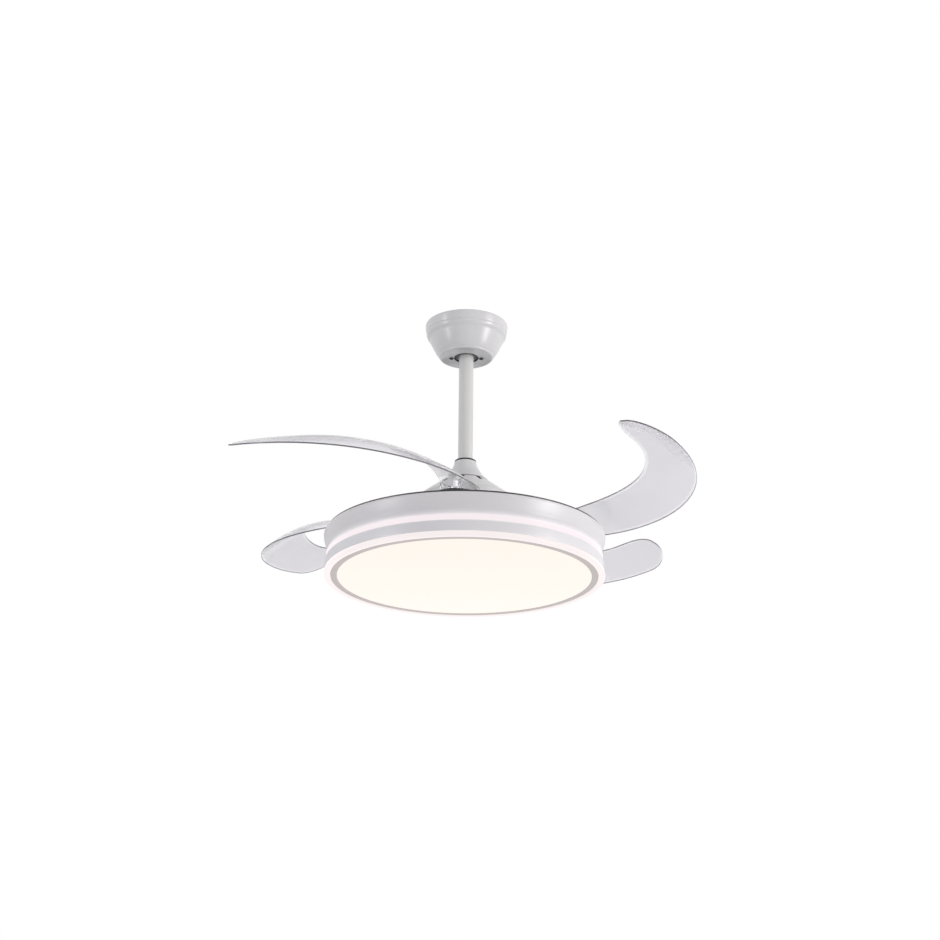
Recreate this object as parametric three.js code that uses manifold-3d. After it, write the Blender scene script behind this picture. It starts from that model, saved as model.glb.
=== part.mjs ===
// Ceiling fan with four clear blades that fold over its round lamp.
// Millimetres, +Z up. The origin is on the ceiling, on the fan's axis.
// Everything below the ceiling bracket is measured as a height above the lamp's lower edge.
import * as THREE from 'three';
import { mergeVertices } from 'three/addons/utils/BufferGeometryUtils.js';
import Module from 'manifold-3d';

// ---- Driving dimensions -------------------------------------------------
const SEAT_GAP = 0.3; // between pieces that rest on each other
const RUN_GAP = 0.6; // between pieces that turn past each other

// Lamp
const LAMP_R = 250;
const LAMP_WAIST_INSET = 5; // of the crease round the drum
const LAMP_WALL = 2.5;
const BOTTOM_RING_H = 9.1;
const BOTTOM_RING_W = 9;
const BOTTOM_RING_EDGE = 1.5;
const BAND_INSET = 1;
const HALO_INSET = 2.5;
const LOWER_BAND_H = 19;
const HALO_H = 9.4;
const DRUM_H = 38.3;
const DRUM_PROUD = 2; // past the lamp's lower ring
const DRUM_CREASE_RISE = 11.6; // over the drum's lower edge
const DRUM_BEVEL_H = 20;
const DRUM_LIP_H = 1.5; // the rounded upper edge
const TRIM_INSET = 11.7; // from the lamp's outer edge
const TRIM_W = 11.6;
const TRIM_H = 3;
const TRIM_RISE = 1.2;
const DIFFUSER_T = 2.5;
const DIFFUSER_RISE = 0.4; // over the trim's lower face
const TOP_PLATE_PROUD = 5;
const TOP_PLATE_T = 1.5;
const TOP_PLATE_SKIRT = 40;
const TOP_PLATE_DROOP = 1.7; // of its rim, which lies over the drum's edge
const TOP_PLATE_RIM_H = 2.5;
const LED_BOARD_INSET = 45; // from the lamp's outer edge
const LED_BOARD_HOLE_R = 62;
const LED_BOARD_T = 2;
const LED_STANDOFF_H = 16;
const LED_STANDOFF_R = 4;
const LED_STANDOFF_INSET = 15; // from the board's edge
const LED_STANDOFF_COUNT = 4;
const LED_CHIP_COUNT = 12;
const LED_CHIP_SIZE = 12;
const LED_CHIP_T = 1.2;
const DRIVER_SIZE = [60, 30, 14];
const DRIVER_GAP = 2; // to the heads of the plate's screws
const HANGER_PLATE_R = 48;
const HANGER_PLATE_T = 2.5;
const PLATE_SCREW_COUNT = 3;
const PLATE_SCREW_CIRCLE_R = 38;
const PLATE_SCREW_R = 2;
const PLATE_SCREW_HEAD_R = 6;
const PLATE_SCREW_HEAD_H = 4;
const NUT_R = 14;
const NUT_H = 8;
const SHAFT_PAST_NUT = 3;

// Shaft, bearings and motor
const SHAFT_R = 8.5;
const SHAFT_BORE_R = 5;
const BEARING_R = 20;
const BEARING_H = 12;
const ROTOR_R = 60;
const ROTOR_WALL = 2.5;
const ROTOR_TOP_T = 4;
const ROTOR_H = 46;
const ROTOR_BOSS_R = 26;
const ROTOR_BEVEL = 2;
const MAGNET_T = 3.5;
const MAGNET_H = 28;
const STATOR_AIR_GAP = 0.8;
const STATOR_HUB_R = 22;
const STATOR_CORE_R = 30;
const STATOR_H = 22;
const STATOR_TEETH = 12;
const TOOTH_W = 7;
const TOOTH_SHOE_T = 3.5;
const COIL_T = 2;
const COIL_END_GAP = 1.5;
const JUMPER_W = 5;

// Blade carrier, pivots and gears
const PIVOT_AZIMUTH = -5.5; // of the first blade, in degrees
const BLADE_COUNT = 4;
const GEAR_LIFT = 4; // the gears' height over the lamp's top plate
const GEAR_T = 4;
const GEAR_MODULE = 4;
const SUN_TEETH = 48;
const BLADE_GEAR_TEETH = 33;
const BLADE_GEAR_TEETH_MADE = 12;
const BLADE_GEAR_HUB_R = 24;
const TOOTH_TOP = 0.9; // tooth sizes as shares of the module, above and below the pitch circle
const TOOTH_FOOT = 1.15;
const TOOTH_TOP_HALF = 0.11; // half widths as shares of the tooth pitch
const TOOTH_FOOT_HALF = 0.29;
const SUN_RIM_W = 16;
const SPRING_ROOM = 8;
const CARRIER_T = 6;
const CARRIER_R = 92;
const CARRIER_PAD_R = 37;
const CARRIER_ARM_W = 44;
const CARRIER_RING_W = 5;
const RETAINER_T = 1.5;
const RETAINER_LEDGE = 5;
const SLEEVE_R = 13;
const BOLT_R = 6;
const BOLT_HEAD_R = 10;
const BOLT_HEAD_H = 4;
const BOLT_SEAT_H = 4; // of the boss under the bolt's head, over the root's disc
const BOLT_FOOT_H = 1.5;
const SPRING_COIL_R = 16.5;
const SPRING_WIRE_R = 0.8;
const SPRING_PITCH = 2.2;
const SPRING_TURNS = 2.5;

// Blade, in plan: the outer edge is an arc, and the inner edge comes from the stations
const BLADE_EDGE_R = 255;
const BLADE_ARC_ACROSS = -25.1; // the arc's centre, from the first blade's pivot
const BLADE_ARC_BACK = -196.7;
const BLADE_RISE = 57; // of its highest edge over the root's disc
const BLADE_W = 117;
const BLADE_ROOT_ANGLE = 91.5;
const BLADE_SWEEP = 144;
const BLADE_T = 2.6;
const BLADE_ROOT_CAP = 0.2; // shares of the sweep that the rounded ends take
const BLADE_TIP_CAP_OUTER = 0.1;
const BLADE_TIP_CAP_INNER = 0.36;
const BLADE_TIP_PLACE = 0.5; // where the tip lies across the blade, from its inner edge
const BLADE_STATIONS = [
  // turn: share of the sweep; width: share of the blade's width; low, high: heights of the outer
  // and inner edge, and crown: how far the blade bulges between them, as shares of its rise
  { turn: 0.0, width: 0.71, low: -0.13, high: -0.04, crown: 0.23 },
  { turn: 0.2, width: 0.64, low: -0.242, high: 0.37, crown: 0.14 },
  { turn: 0.4, width: 0.64, low: -0.2, high: 0.613, crown: 0.1 },
  { turn: 0.6, width: 0.72, low: -0.04, high: 0.724, crown: 0.165 },
  { turn: 0.8, width: 0.8, low: 0.186, high: 0.823, crown: 0.15 },
  { turn: 1.0, width: 1.03, low: 0.481, high: 1, crown: 0.2 },
];
const ROOT_DISC_R = 38;
const ROOT_DISC_T = 3;
const ROOT_BLANK_H = 60; // taller than the blade, and trimmed by its underside
const ROOT_BOSS_R = 13;
const ROOT_RIB_T = 2.2;
const ROOT_RIB_COUNT = 6;
const ROOT_RIB_AZIMUTH = 15;
const ROOT_RIB_START_R = 6;
const ROOT_RIB_END_R = 38;
const ROOT_POST_R = 4;
const ROOT_POST_COUNT = 4;
const ROOT_POST_CIRCLE_R = 33;

// Motor cover, coupling and rod
const COVER_T = 1.5;
const COVER_RIM_R = 88;
const COVER_LIP_H = 14;
const COVER_SHOULDER_R = 86;
const COVER_TOP_R = 44;
const COVER_OVERLAP = 15.4; // how far its lower edge is below the rotor's top
const COVER_CONE_H = 31.9;
const COVER_SHOULDER_H = 2.4;
const COVER_SLOTS = 9;
const COVER_SLOT_AZIMUTH = -51;
const COVER_SLOT_L = 8;
const COVER_SLOT_W = 2.4;
const BELL_H = 39.1;
const BELL_TOP_R = 20.3;
const BELL_PROFILE = [
  // shares of the way from the bottom to the top: of the radius, then of the height
  [0, 0], [0.181, 0.113], [0.494, 0.33], [0.743, 0.575], [0.907, 0.78], [0.98, 0.92], [1, 1],
];
const SEAL_R = 20;
const SEAL_H = 3;
const ROD_R = 13.5;
const ROD_WALL = 1.8;
const ROD_L = 275;
const ROD_BELOW_SEAL = 31;
const ROD_GAP = 0.3;
const COUPLING_R = 17.5;
const COUPLING_SOCKET_DEPTH = 22;
const COUPLING_FLOOR_T = 12;
const CLEVIS_PIN_R = 3;
const CLEVIS_HEAD_H = 3;
const CLEVIS_HEAD_PROUD = 2;
const PIN_GAP = 0.3;

// Ceiling side
const BALL_DROP = 44; // the hanger ball's centre, below the ceiling
const BALL_R = 24;
const BALL_HALF_H = 14;
const BALL_BORE_FLARE = 3;
const BALL_WAIST_H = 2; // the narrow middle of its bore, so that the rod can tilt
const HANGER_PIN_R = 3.5;
const HANGER_PIN_INSET = 1;
const ROD_TOP_OVER_BALL = 14;
const BRACKET_L = 112;
const BRACKET_W = 44;
const BRACKET_T = 2.5;
const BRACKET_LEG_X = 36;
const BRACKET_DEPTH = 58.5;
const BRACKET_SLOT_L = 14;
const BRACKET_SLOT_W = 6;
const BRACKET_SLOT_X = 46;
const BRACKET_MOUTH_GAP = 1;
const CANOPY_DROP = 0.5;
const CANOPY_H = 65;
const CANOPY_RIM_R = 77;
const CANOPY_T = 1.6;
const CANOPY_BOTTOM_R = 45.8;
const CANOPY_HOLE_R = 21.5;
const CANOPY_PROFILE = [
  // shares of the way from the rim to the bottom: of the radius, then of the height
  [0, 0], [0.03, 0.046], [0.115, 0.203], [0.224, 0.338], [0.337, 0.385],
  [0.42, 0.523], [0.583, 0.723], [0.766, 0.892], [0.859, 0.969], [1, 1],
];
const CANOPY_SCREW_X = 28;
const CANOPY_SCREW_R = 2;
const CANOPY_SCREW_HEAD_R = 4;
const CANOPY_SCREW_HEAD_H = 2;
const CANOPY_SCREW_REACH = 3; // past the bracket's lower plate
const RECEIVER_SIZE = [66, 34, 13];
const TERMINAL_SIZE = [18, 10, 9];

// ---- Heights above the lamp's lower edge, stacked ----------------------
const BAND_BOTTOM = BOTTOM_RING_H + SEAT_GAP;
const BAND_TOP = BAND_BOTTOM + LOWER_BAND_H;
const HALO_BOTTOM = BAND_TOP + SEAT_GAP;
const HALO_TOP = HALO_BOTTOM + HALO_H;
const DRUM_BOTTOM = HALO_TOP + SEAT_GAP;
const DRUM_TOP = DRUM_BOTTOM + DRUM_H;
const PLATE_TOP = DRUM_TOP + TOP_PLATE_PROUD;
const GEAR_BOTTOM = PLATE_TOP + GEAR_LIFT;
const GEAR_TOP = GEAR_BOTTOM + GEAR_T;
const CARRIER_BOTTOM = GEAR_TOP + SPRING_ROOM;
const CARRIER_TOP = CARRIER_BOTTOM + CARRIER_T;
const DISC_BOTTOM = CARRIER_TOP + SEAT_GAP;
const DISC_TOP = DISC_BOTTOM + ROOT_DISC_T;
const ROTOR_BOTTOM = CARRIER_TOP + SEAT_GAP;
const ROTOR_TOP = ROTOR_BOTTOM + ROTOR_H;
const LOWER_BEARING_BOTTOM = CARRIER_TOP - BEARING_H;
const UPPER_BEARING_BOTTOM = ROTOR_TOP - ROTOR_TOP_T;
const ROTOR_BOSS_TOP = UPPER_BEARING_BOTTOM + BEARING_H;
const COVER_BOTTOM = ROTOR_TOP - COVER_OVERLAP;
const COVER_RIM_TOP = COVER_BOTTOM + COVER_LIP_H;
const COVER_SHOULDER_TOP = COVER_RIM_TOP + COVER_SHOULDER_H;
const COVER_TOP = COVER_SHOULDER_TOP + COVER_CONE_H;
const BELL_BOTTOM = COVER_TOP + SEAT_GAP;
const BELL_TOP = BELL_BOTTOM + BELL_H;
const SEAL_BOTTOM = BELL_TOP + SEAT_GAP;
const ROD_BOTTOM = SEAL_BOTTOM - ROD_BELOW_SEAL;
const COUPLING_TOP = ROD_BOTTOM + COUPLING_SOCKET_DEPTH;
const COUPLING_BOTTOM = ROD_BOTTOM - COUPLING_FLOOR_T;
const SHAFT_TOP = ROD_BOTTOM - SEAT_GAP;
const PAN_UNDERSIDE = PLATE_TOP - TOP_PLATE_T;
const LED_BOARD_TOP = PAN_UNDERSIDE - SEAT_GAP - LED_STANDOFF_H;
const HANGER_BALL_HEIGHT = ROD_BOTTOM + ROD_L - ROD_TOP_OVER_BALL;
const LAMP_DROP = BALL_DROP + HANGER_BALL_HEIGHT; // from the ceiling to the lamp's lower edge

const DRUM_R = LAMP_R + DRUM_PROUD;
const LAMP_WAIST_R = LAMP_R - LAMP_WAIST_INSET;
const HALO_R = LAMP_R - HALO_INSET;
const TRIM_OUTER_R = LAMP_R - TRIM_INSET;
const TRIM_INNER_R = TRIM_OUTER_R - TRIM_W;
const LED_BOARD_R = LAMP_R - LED_BOARD_INSET;
const SUN_R = GEAR_MODULE * SUN_TEETH / 2;
const PIVOT_CIRCLE_R = SUN_R + GEAR_MODULE * BLADE_GEAR_TEETH / 2;
const CARRIER_RING_R = SUN_R - SUN_RIM_W - RUN_GAP;

// ---- Solids --------------------------------------------------------------
const wasm = await Module();
wasm.setup();

function solid(geometry) {
  const bare = geometry.index ? geometry.toNonIndexed() : geometry.clone();
  bare.deleteAttribute('normal');
  bare.deleteAttribute('uv');
  const merged = mergeVertices(bare, 1e-4);
  return new wasm.Manifold(new wasm.Mesh({
    numProp: 3,
    vertProperties: merged.attributes.position.array,
    triVerts: new Uint32Array(merged.index.array),
  }));
}

function geometryOf(body) {
  const { vertProperties, triVerts } = body.getMesh();
  const geometry = new THREE.BufferGeometry();
  geometry.setAttribute('position', new THREE.BufferAttribute(vertProperties, 3));
  geometry.setIndex(new THREE.BufferAttribute(triVerts, 1));
  const flat = geometry.toNonIndexed();
  flat.computeVertexNormals();
  return flat;
}

function cut(geometry, ...tools) {
  return geometryOf(tools.reduce((body, tool) => body.subtract(solid(tool)), solid(geometry)));
}

function join(...geometries) {
  return geometryOf(geometries.map(solid).reduce((body, next) => body.add(next)));
}

// A turned piece: points are [radius, height], anticlockwise when closed on itself.
function turned(points, segments = 32) {
  const profile = points.map(([r, z]) => new THREE.Vector2(r, z));
  const closed = points[0][0] > 0 || points.at(-1)[0] > 0;
  if (closed) profile.push(profile[0].clone());
  return new THREE.LatheGeometry(profile, segments).rotateX(Math.PI / 2);
}

function ring(innerR, outerR, bottom, top, segments) {
  return turned([[innerR, bottom], [outerR, bottom], [outerR, top], [innerR, top]], segments);
}

// A curved outline between two radii, from a table of shares.
function curve(shares, startR, endR, startZ, endZ) {
  return shares.map(([across, along]) =>
    [startR + (endR - startR) * across, startZ + (endZ - startZ) * along]);
}

function disc(radius, bottom, top, segments = 24) {
  return new THREE.CylinderGeometry(radius, radius, top - bottom, segments)
    .rotateX(Math.PI / 2)
    .translate(0, 0, (top + bottom) / 2);
}

function block(x, y, z, centre) {
  return new THREE.BoxGeometry(x, y, z).translate(...centre);
}

function plate(outline, bottom, thickness, holes = []) {
  const shape = new THREE.Shape(outline);
  shape.holes = holes.map((hole) => new THREE.Path(hole));
  const options = { depth: thickness, bevelEnabled: false, curveSegments: 12 };
  return new THREE.ExtrudeGeometry(shape, options).translate(0, 0, bottom);
}

function circle(radius, steps, centre = [0, 0]) {
  return Array.from({ length: steps }, (_, i) => polar(radius, i * 360 / steps, centre));
}

// A long hole with round ends, along X.
function slotOutline(length, width, middleX) {
  const steps = 8;
  const reach = (length - width) / 2;
  return [1, -1].flatMap((end) => Array.from({ length: steps + 1 }, (_, i) =>
    polar(width / 2, 90 * (1 - end) - 90 + 180 * i / steps, [middleX + end * reach, 0])));
}

function polar(radius, degrees, centre = [0, 0]) {
  const angle = THREE.MathUtils.degToRad(degrees);
  return new THREE.Vector2(centre[0] + radius * Math.cos(angle), centre[1] + radius * Math.sin(angle));
}

function around(count, make, start = 0) {
  return Array.from({ length: count }, (_, i) => {
    const angle = THREE.MathUtils.degToRad(start + i * 360 / count);
    return make(i).rotateZ(angle);
  });
}

// ---- Assembly ------------------------------------------------------------
const finishes = {
  whitePaint: { color: 0xe4e3e6, roughness: 0.35, metalness: 0 },
  whitePlastic: { color: 0xf0eff2, roughness: 0.45, metalness: 0 },
  glow: { color: 0xfff4f0, roughness: 0.5, metalness: 0 },
  greyTrim: { color: 0xb9b3ae, roughness: 0.4, metalness: 0.3 },
  clear: { color: 0xd2d1d8, roughness: 0.1, metalness: 0, transparent: true, opacity: 0.5 },
  black: { color: 0x26242a, roughness: 0.5, metalness: 0.2 },
  steel: { color: 0xa8abb0, roughness: 0.35, metalness: 0.9 },
  nylon: { color: 0xece8dc, roughness: 0.5, metalness: 0 },
  copper: { color: 0xb06a34, roughness: 0.4, metalness: 0.9 },
  circuit: { color: 0xf4f4ef, roughness: 0.6, metalness: 0 },
  rubber: { color: 0x1c1b1d, roughness: 0.8, metalness: 0 },
};

const fan = new THREE.Group();
const hanging = new THREE.Group();
hanging.position.z = -LAMP_DROP;
fan.add(hanging);

function piece(parent, name, finish, geometry) {
  const mesh = new THREE.Mesh(geometry, new THREE.MeshStandardMaterial(finishes[finish]));
  mesh.name = name;
  parent.add(mesh);
}

// ---- Ceiling bracket, canopy and receiver --------------------------------
function ceilingBracket() {
  const top = block(BRACKET_L, BRACKET_W, BRACKET_T, [0, 0, -BRACKET_T / 2]);
  const legH = BRACKET_DEPTH - BRACKET_T;
  const leg = (side) => block(BRACKET_T, BRACKET_W, legH,
    [side * BRACKET_LEG_X, 0, -BRACKET_DEPTH / 2]);
  const seatPlate = block(2 * BRACKET_LEG_X + BRACKET_T, BRACKET_W, BRACKET_T,
    [0, 0, -BRACKET_DEPTH + BRACKET_T / 2]);
  const seatDrop = BRACKET_DEPTH - BRACKET_T - BALL_DROP;
  const seatR = Math.sqrt(BALL_R ** 2 - seatDrop ** 2) + SEAT_GAP;
  const seat = disc(seatR, -BRACKET_DEPTH - 1, -BRACKET_DEPTH + BRACKET_T + 1, 32);
  const mouth = block(2 * (ROD_R + BRACKET_MOUTH_GAP), BRACKET_W, 4 * BRACKET_T,
    [0, BRACKET_W / 2, -BRACKET_DEPTH]);
  const slots = [-1, 1].map((side) =>
    plate(slotOutline(BRACKET_SLOT_L, BRACKET_SLOT_W, side * BRACKET_SLOT_X), -2 * BRACKET_T, 4 * BRACKET_T));
  const screwHoles = [-1, 1].map((side) =>
    disc(CANOPY_SCREW_R + PIN_GAP, -BRACKET_DEPTH - 1, -BRACKET_DEPTH + BRACKET_T + 1, 12)
      .translate(side * CANOPY_SCREW_X, 0, 0));
  return cut(join(top, leg(-1), leg(1), seatPlate), seat, mouth, ...slots, ...screwHoles);
}

function canopy() {
  const top = -CANOPY_DROP;
  const bottom = top - CANOPY_H;
  const outer = curve(CANOPY_PROFILE, CANOPY_RIM_R, CANOPY_BOTTOM_R, top, bottom);
  const inner = outer.map(([r, z]) => [r - CANOPY_T, z]).slice(0, -1);
  inner.push([CANOPY_BOTTOM_R, bottom + CANOPY_T], [CANOPY_HOLE_R, bottom + CANOPY_T]);
  const shell = turned([[CANOPY_HOLE_R, bottom], ...outer.reverse(), ...inner], 24);
  const screwHoles = [-1, 1].map((side) =>
    disc(CANOPY_SCREW_R + PIN_GAP, bottom - 1, bottom + CANOPY_T + 1, 12)
      .translate(side * CANOPY_SCREW_X, 0, 0));
  return cut(shell, ...screwHoles);
}

function canopyScrew(side) {
  const head = -CANOPY_DROP - CANOPY_H - SEAT_GAP;
  const top = -BRACKET_DEPTH + BRACKET_T + CANOPY_SCREW_REACH;
  const foot = head - CANOPY_SCREW_HEAD_H;
  return turned([
    [0, foot], [CANOPY_SCREW_HEAD_R * 0.7, foot], [CANOPY_SCREW_HEAD_R, (head + foot) / 2],
    [CANOPY_SCREW_HEAD_R, head], [CANOPY_SCREW_R, head], [CANOPY_SCREW_R, top], [0, top],
  ], 12).translate(side * CANOPY_SCREW_X, 0, 0);
}

function receiverBox() {
  const [x, y, z] = RECEIVER_SIZE;
  return block(x, y, z, [0, 0, -BRACKET_T - SEAT_GAP - z / 2]);
}

function terminalBlock() {
  const [x, y, z] = TERMINAL_SIZE;
  const beside = RECEIVER_SIZE[1] / 2 + SEAT_GAP + y / 2;
  return block(x, y, z, [0, beside, -BRACKET_T - SEAT_GAP - z / 2]);
}

piece(fan, 'ceiling_bracket', 'steel', ceilingBracket());
piece(fan, 'canopy', 'whitePaint', canopy());
piece(fan, 'canopy_screw_left', 'black', canopyScrew(-1));
piece(fan, 'canopy_screw_right', 'black', canopyScrew(1));
piece(fan, 'receiver_box', 'whitePlastic', receiverBox());
piece(fan, 'terminal_block', 'nylon', terminalBlock());

// ---- Hanger ball, pin and rod --------------------------------------------
function hangerBall() {
  const steps = 6;
  const limit = Math.asin(BALL_HALF_H / BALL_R);
  const boreR = ROD_R + ROD_GAP;
  const profile = [[boreR + BALL_BORE_FLARE, -BALL_HALF_H]];
  for (let i = 0; i <= steps; i += 1) {
    const angle = -limit + 2 * limit * i / steps;
    profile.push([BALL_R * Math.cos(angle), BALL_R * Math.sin(angle)]);
  }
  profile.push([boreR + BALL_BORE_FLARE, BALL_HALF_H], [boreR, BALL_WAIST_H / 2], [boreR, -BALL_WAIST_H / 2]);
  const pinHole = disc(HANGER_PIN_R + PIN_GAP, -BALL_R - 1, BALL_R + 1, 12).rotateY(Math.PI / 2);
  return cut(turned(profile, 24), pinHole).translate(0, 0, -BALL_DROP);
}

function hangerPin() {
  const half = Math.sqrt(BALL_R ** 2 - HANGER_PIN_R ** 2) - HANGER_PIN_INSET;
  return disc(HANGER_PIN_R, -half, half, 12).rotateY(Math.PI / 2).translate(0, 0, HANGER_BALL_HEIGHT);
}

function downrod() {
  const tube = ring(ROD_R - ROD_WALL, ROD_R, ROD_BOTTOM, ROD_BOTTOM + ROD_L, 24);
  const cross = (radius, height) => disc(radius + PIN_GAP, -ROD_R - 2, ROD_R + 2, 12)
    .rotateY(Math.PI / 2)
    .translate(0, 0, height);
  return cut(tube, cross(HANGER_PIN_R, HANGER_BALL_HEIGHT),
    cross(CLEVIS_PIN_R, (ROD_BOTTOM + COUPLING_TOP) / 2));
}

piece(fan, 'hanger_ball', 'whitePlastic', hangerBall());
piece(hanging, 'hanger_pin', 'steel', hangerPin());
piece(hanging, 'downrod', 'whitePaint', downrod());
piece(hanging, 'rod_seal_ring', 'rubber',
  ring(ROD_R + ROD_GAP, SEAL_R, SEAL_BOTTOM, SEAL_BOTTOM + SEAL_H, 24));

// ---- Coupling, its bell, and the motor's cover ---------------------------
function coupling() {
  const body = turned([
    [SHAFT_R + PIN_GAP, COUPLING_BOTTOM], [COUPLING_R, COUPLING_BOTTOM], [COUPLING_R, COUPLING_TOP],
    [ROD_R + ROD_GAP, COUPLING_TOP], [ROD_R + ROD_GAP, ROD_BOTTOM - SEAT_GAP],
    [SHAFT_R + PIN_GAP, ROD_BOTTOM - SEAT_GAP],
  ], 24);
  const hole = disc(CLEVIS_PIN_R + PIN_GAP, -COUPLING_R - 2, COUPLING_R + 2, 12)
    .rotateY(Math.PI / 2)
    .translate(0, 0, (ROD_BOTTOM + COUPLING_TOP) / 2);
  return cut(body, hole);
}

function clevisPin() {
  const end = COUPLING_R + SEAT_GAP;
  const headR = CLEVIS_PIN_R + CLEVIS_HEAD_PROUD;
  return turned([
    [0, -end - CLEVIS_HEAD_H], [CLEVIS_PIN_R, -end - CLEVIS_HEAD_H], [CLEVIS_PIN_R, end],
    [headR, end], [headR, end + CLEVIS_HEAD_H], [0, end + CLEVIS_HEAD_H],
  ], 12).rotateY(Math.PI / 2).translate(0, 0, (ROD_BOTTOM + COUPLING_TOP) / 2);
}

function couplingBell() {
  const outer = curve(BELL_PROFILE, COVER_TOP_R, BELL_TOP_R, BELL_BOTTOM, BELL_TOP);
  const inner = outer.slice(0, -2).map(([r, z]) => [r - COVER_T, z]).reverse();
  return turned([
    ...outer, [ROD_R + ROD_GAP, BELL_TOP], [ROD_R + ROD_GAP, BELL_TOP - COVER_T],
    [BELL_TOP_R - COVER_T, BELL_TOP - COVER_T], ...inner,
  ], 24);
}

function motorCover() {
  const holeR = COUPLING_R + PIN_GAP;
  const shell = turned([
    [COVER_RIM_R - COVER_T, COVER_BOTTOM], [COVER_RIM_R, COVER_BOTTOM], [COVER_RIM_R, COVER_RIM_TOP],
    [COVER_SHOULDER_R, COVER_SHOULDER_TOP], [COVER_TOP_R, COVER_TOP],
    [holeR, COVER_TOP], [holeR, COVER_TOP - COVER_T], [COVER_TOP_R - COVER_T, COVER_TOP - COVER_T],
    [COVER_SHOULDER_R - COVER_T, COVER_SHOULDER_TOP - COVER_T],
    [COVER_RIM_R - COVER_T, COVER_RIM_TOP - COVER_T],
  ], 32);
  const slots = around(COVER_SLOTS, () => block(COVER_SLOT_L, COVER_SLOT_W, 8 * COVER_T,
    [COVER_TOP_R + COVER_SLOT_L * 0.8, 0, COVER_TOP - 5]), COVER_SLOT_AZIMUTH);
  return cut(shell, ...slots);
}

piece(hanging, 'coupling', 'steel', coupling());
piece(hanging, 'clevis_pin', 'steel', clevisPin());
piece(hanging, 'coupling_bell', 'whitePaint', couplingBell());
piece(hanging, 'motor_cover', 'whitePaint', motorCover());

// ---- Shaft and stator ----------------------------------------------------
const MAGNET_INNER_R = ROTOR_R - ROTOR_WALL - SEAT_GAP - MAGNET_T;
const STATOR_R = MAGNET_INNER_R - STATOR_AIR_GAP;
const STATOR_MIDDLE = (CARRIER_TOP + UPPER_BEARING_BOTTOM) / 2;
const STATOR_BOTTOM = STATOR_MIDDLE - STATOR_H / 2;
const NUT_TOP = PAN_UNDERSIDE - SEAT_GAP;

function statorCore() {
  const step = 360 / STATOR_TEETH;
  const shoeHalf = step * 0.42;
  const halfAt = (radius) => THREE.MathUtils.radToDeg(Math.asin(TOOTH_W / 2 / radius));
  const shoeR = STATOR_R - TOOTH_SHOE_T;
  const outline = Array.from({ length: STATOR_TEETH }, (_, i) => [
    polar(STATOR_CORE_R, i * step - halfAt(STATOR_CORE_R)),
    polar(shoeR, i * step - halfAt(shoeR)),
    polar(STATOR_R, i * step - shoeHalf),
    polar(STATOR_R, i * step + shoeHalf),
    polar(shoeR, i * step + halfAt(shoeR)),
    polar(STATOR_CORE_R, i * step + halfAt(STATOR_CORE_R)),
  ]).flat();
  return plate(outline, STATOR_BOTTOM, STATOR_H, [circle(STATOR_HUB_R, 24)]);
}

function statorWindings() {
  const shoeR = STATOR_R - TOOTH_SHOE_T;
  const length = shoeR - STATOR_CORE_R - 2 * COIL_END_GAP;
  const middle = (shoeR + STATOR_CORE_R) / 2;
  const wide = TOOTH_W + 2 * SEAT_GAP;
  const tall = STATOR_H + 2 * SEAT_GAP;
  const coils = around(STATOR_TEETH, () => cut(
    block(length, wide + 2 * COIL_T, tall + 2 * COIL_T, [middle, 0, STATOR_MIDDLE]),
    block(length + 2, wide, tall, [middle, 0, STATOR_MIDDLE]),
  ));
  const coilTop = STATOR_MIDDLE + tall / 2 + COIL_T;
  const jumper = ring(STATOR_CORE_R, STATOR_CORE_R + JUMPER_W,
    coilTop - COIL_T / 2, coilTop + COIL_T / 2, 24);
  return join(jumper, ...coils);
}

piece(hanging, 'motor_shaft', 'steel',
  ring(SHAFT_BORE_R, SHAFT_R, NUT_TOP - NUT_H - SHAFT_PAST_NUT, SHAFT_TOP, 20));
piece(hanging, 'stator_hub', 'steel',
  ring(SHAFT_R + SEAT_GAP, STATOR_HUB_R - SEAT_GAP, STATOR_BOTTOM, STATOR_BOTTOM + STATOR_H, 24));
piece(hanging, 'stator_core', 'steel', statorCore());
piece(hanging, 'stator_windings', 'copper', statorWindings());

// ---- Rotor: carrier, bell, magnets and bearings --------------------------
function carrierOutline() {
  const points = [];
  const halfArm = THREE.MathUtils.radToDeg(Math.asin(CARRIER_ARM_W / 2 / CARRIER_R));
  const padHalf = THREE.MathUtils.radToDeg(Math.asin(CARRIER_ARM_W / 2 / CARRIER_PAD_R));
  for (let k = 0; k < BLADE_COUNT; k += 1) {
    const azimuth = PIVOT_AZIMUTH + k * 360 / BLADE_COUNT;
    const pad = polar(PIVOT_CIRCLE_R, azimuth).toArray();
    points.push(polar(CARRIER_R, azimuth - halfArm));
    const padSteps = 10;
    for (let i = 0; i <= padSteps; i += 1) {
      const turn = (180 - padHalf) * (2 * i / padSteps - 1);
      points.push(polar(CARRIER_PAD_R, azimuth + turn, pad));
    }
    points.push(polar(CARRIER_R, azimuth + halfArm));
    const gapSteps = 5;
    const gap = 360 / BLADE_COUNT - 2 * halfArm;
    for (let i = 1; i < gapSteps; i += 1) {
      points.push(polar(CARRIER_R, azimuth + halfArm + gap * i / gapSteps));
    }
  }
  return points;
}

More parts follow.
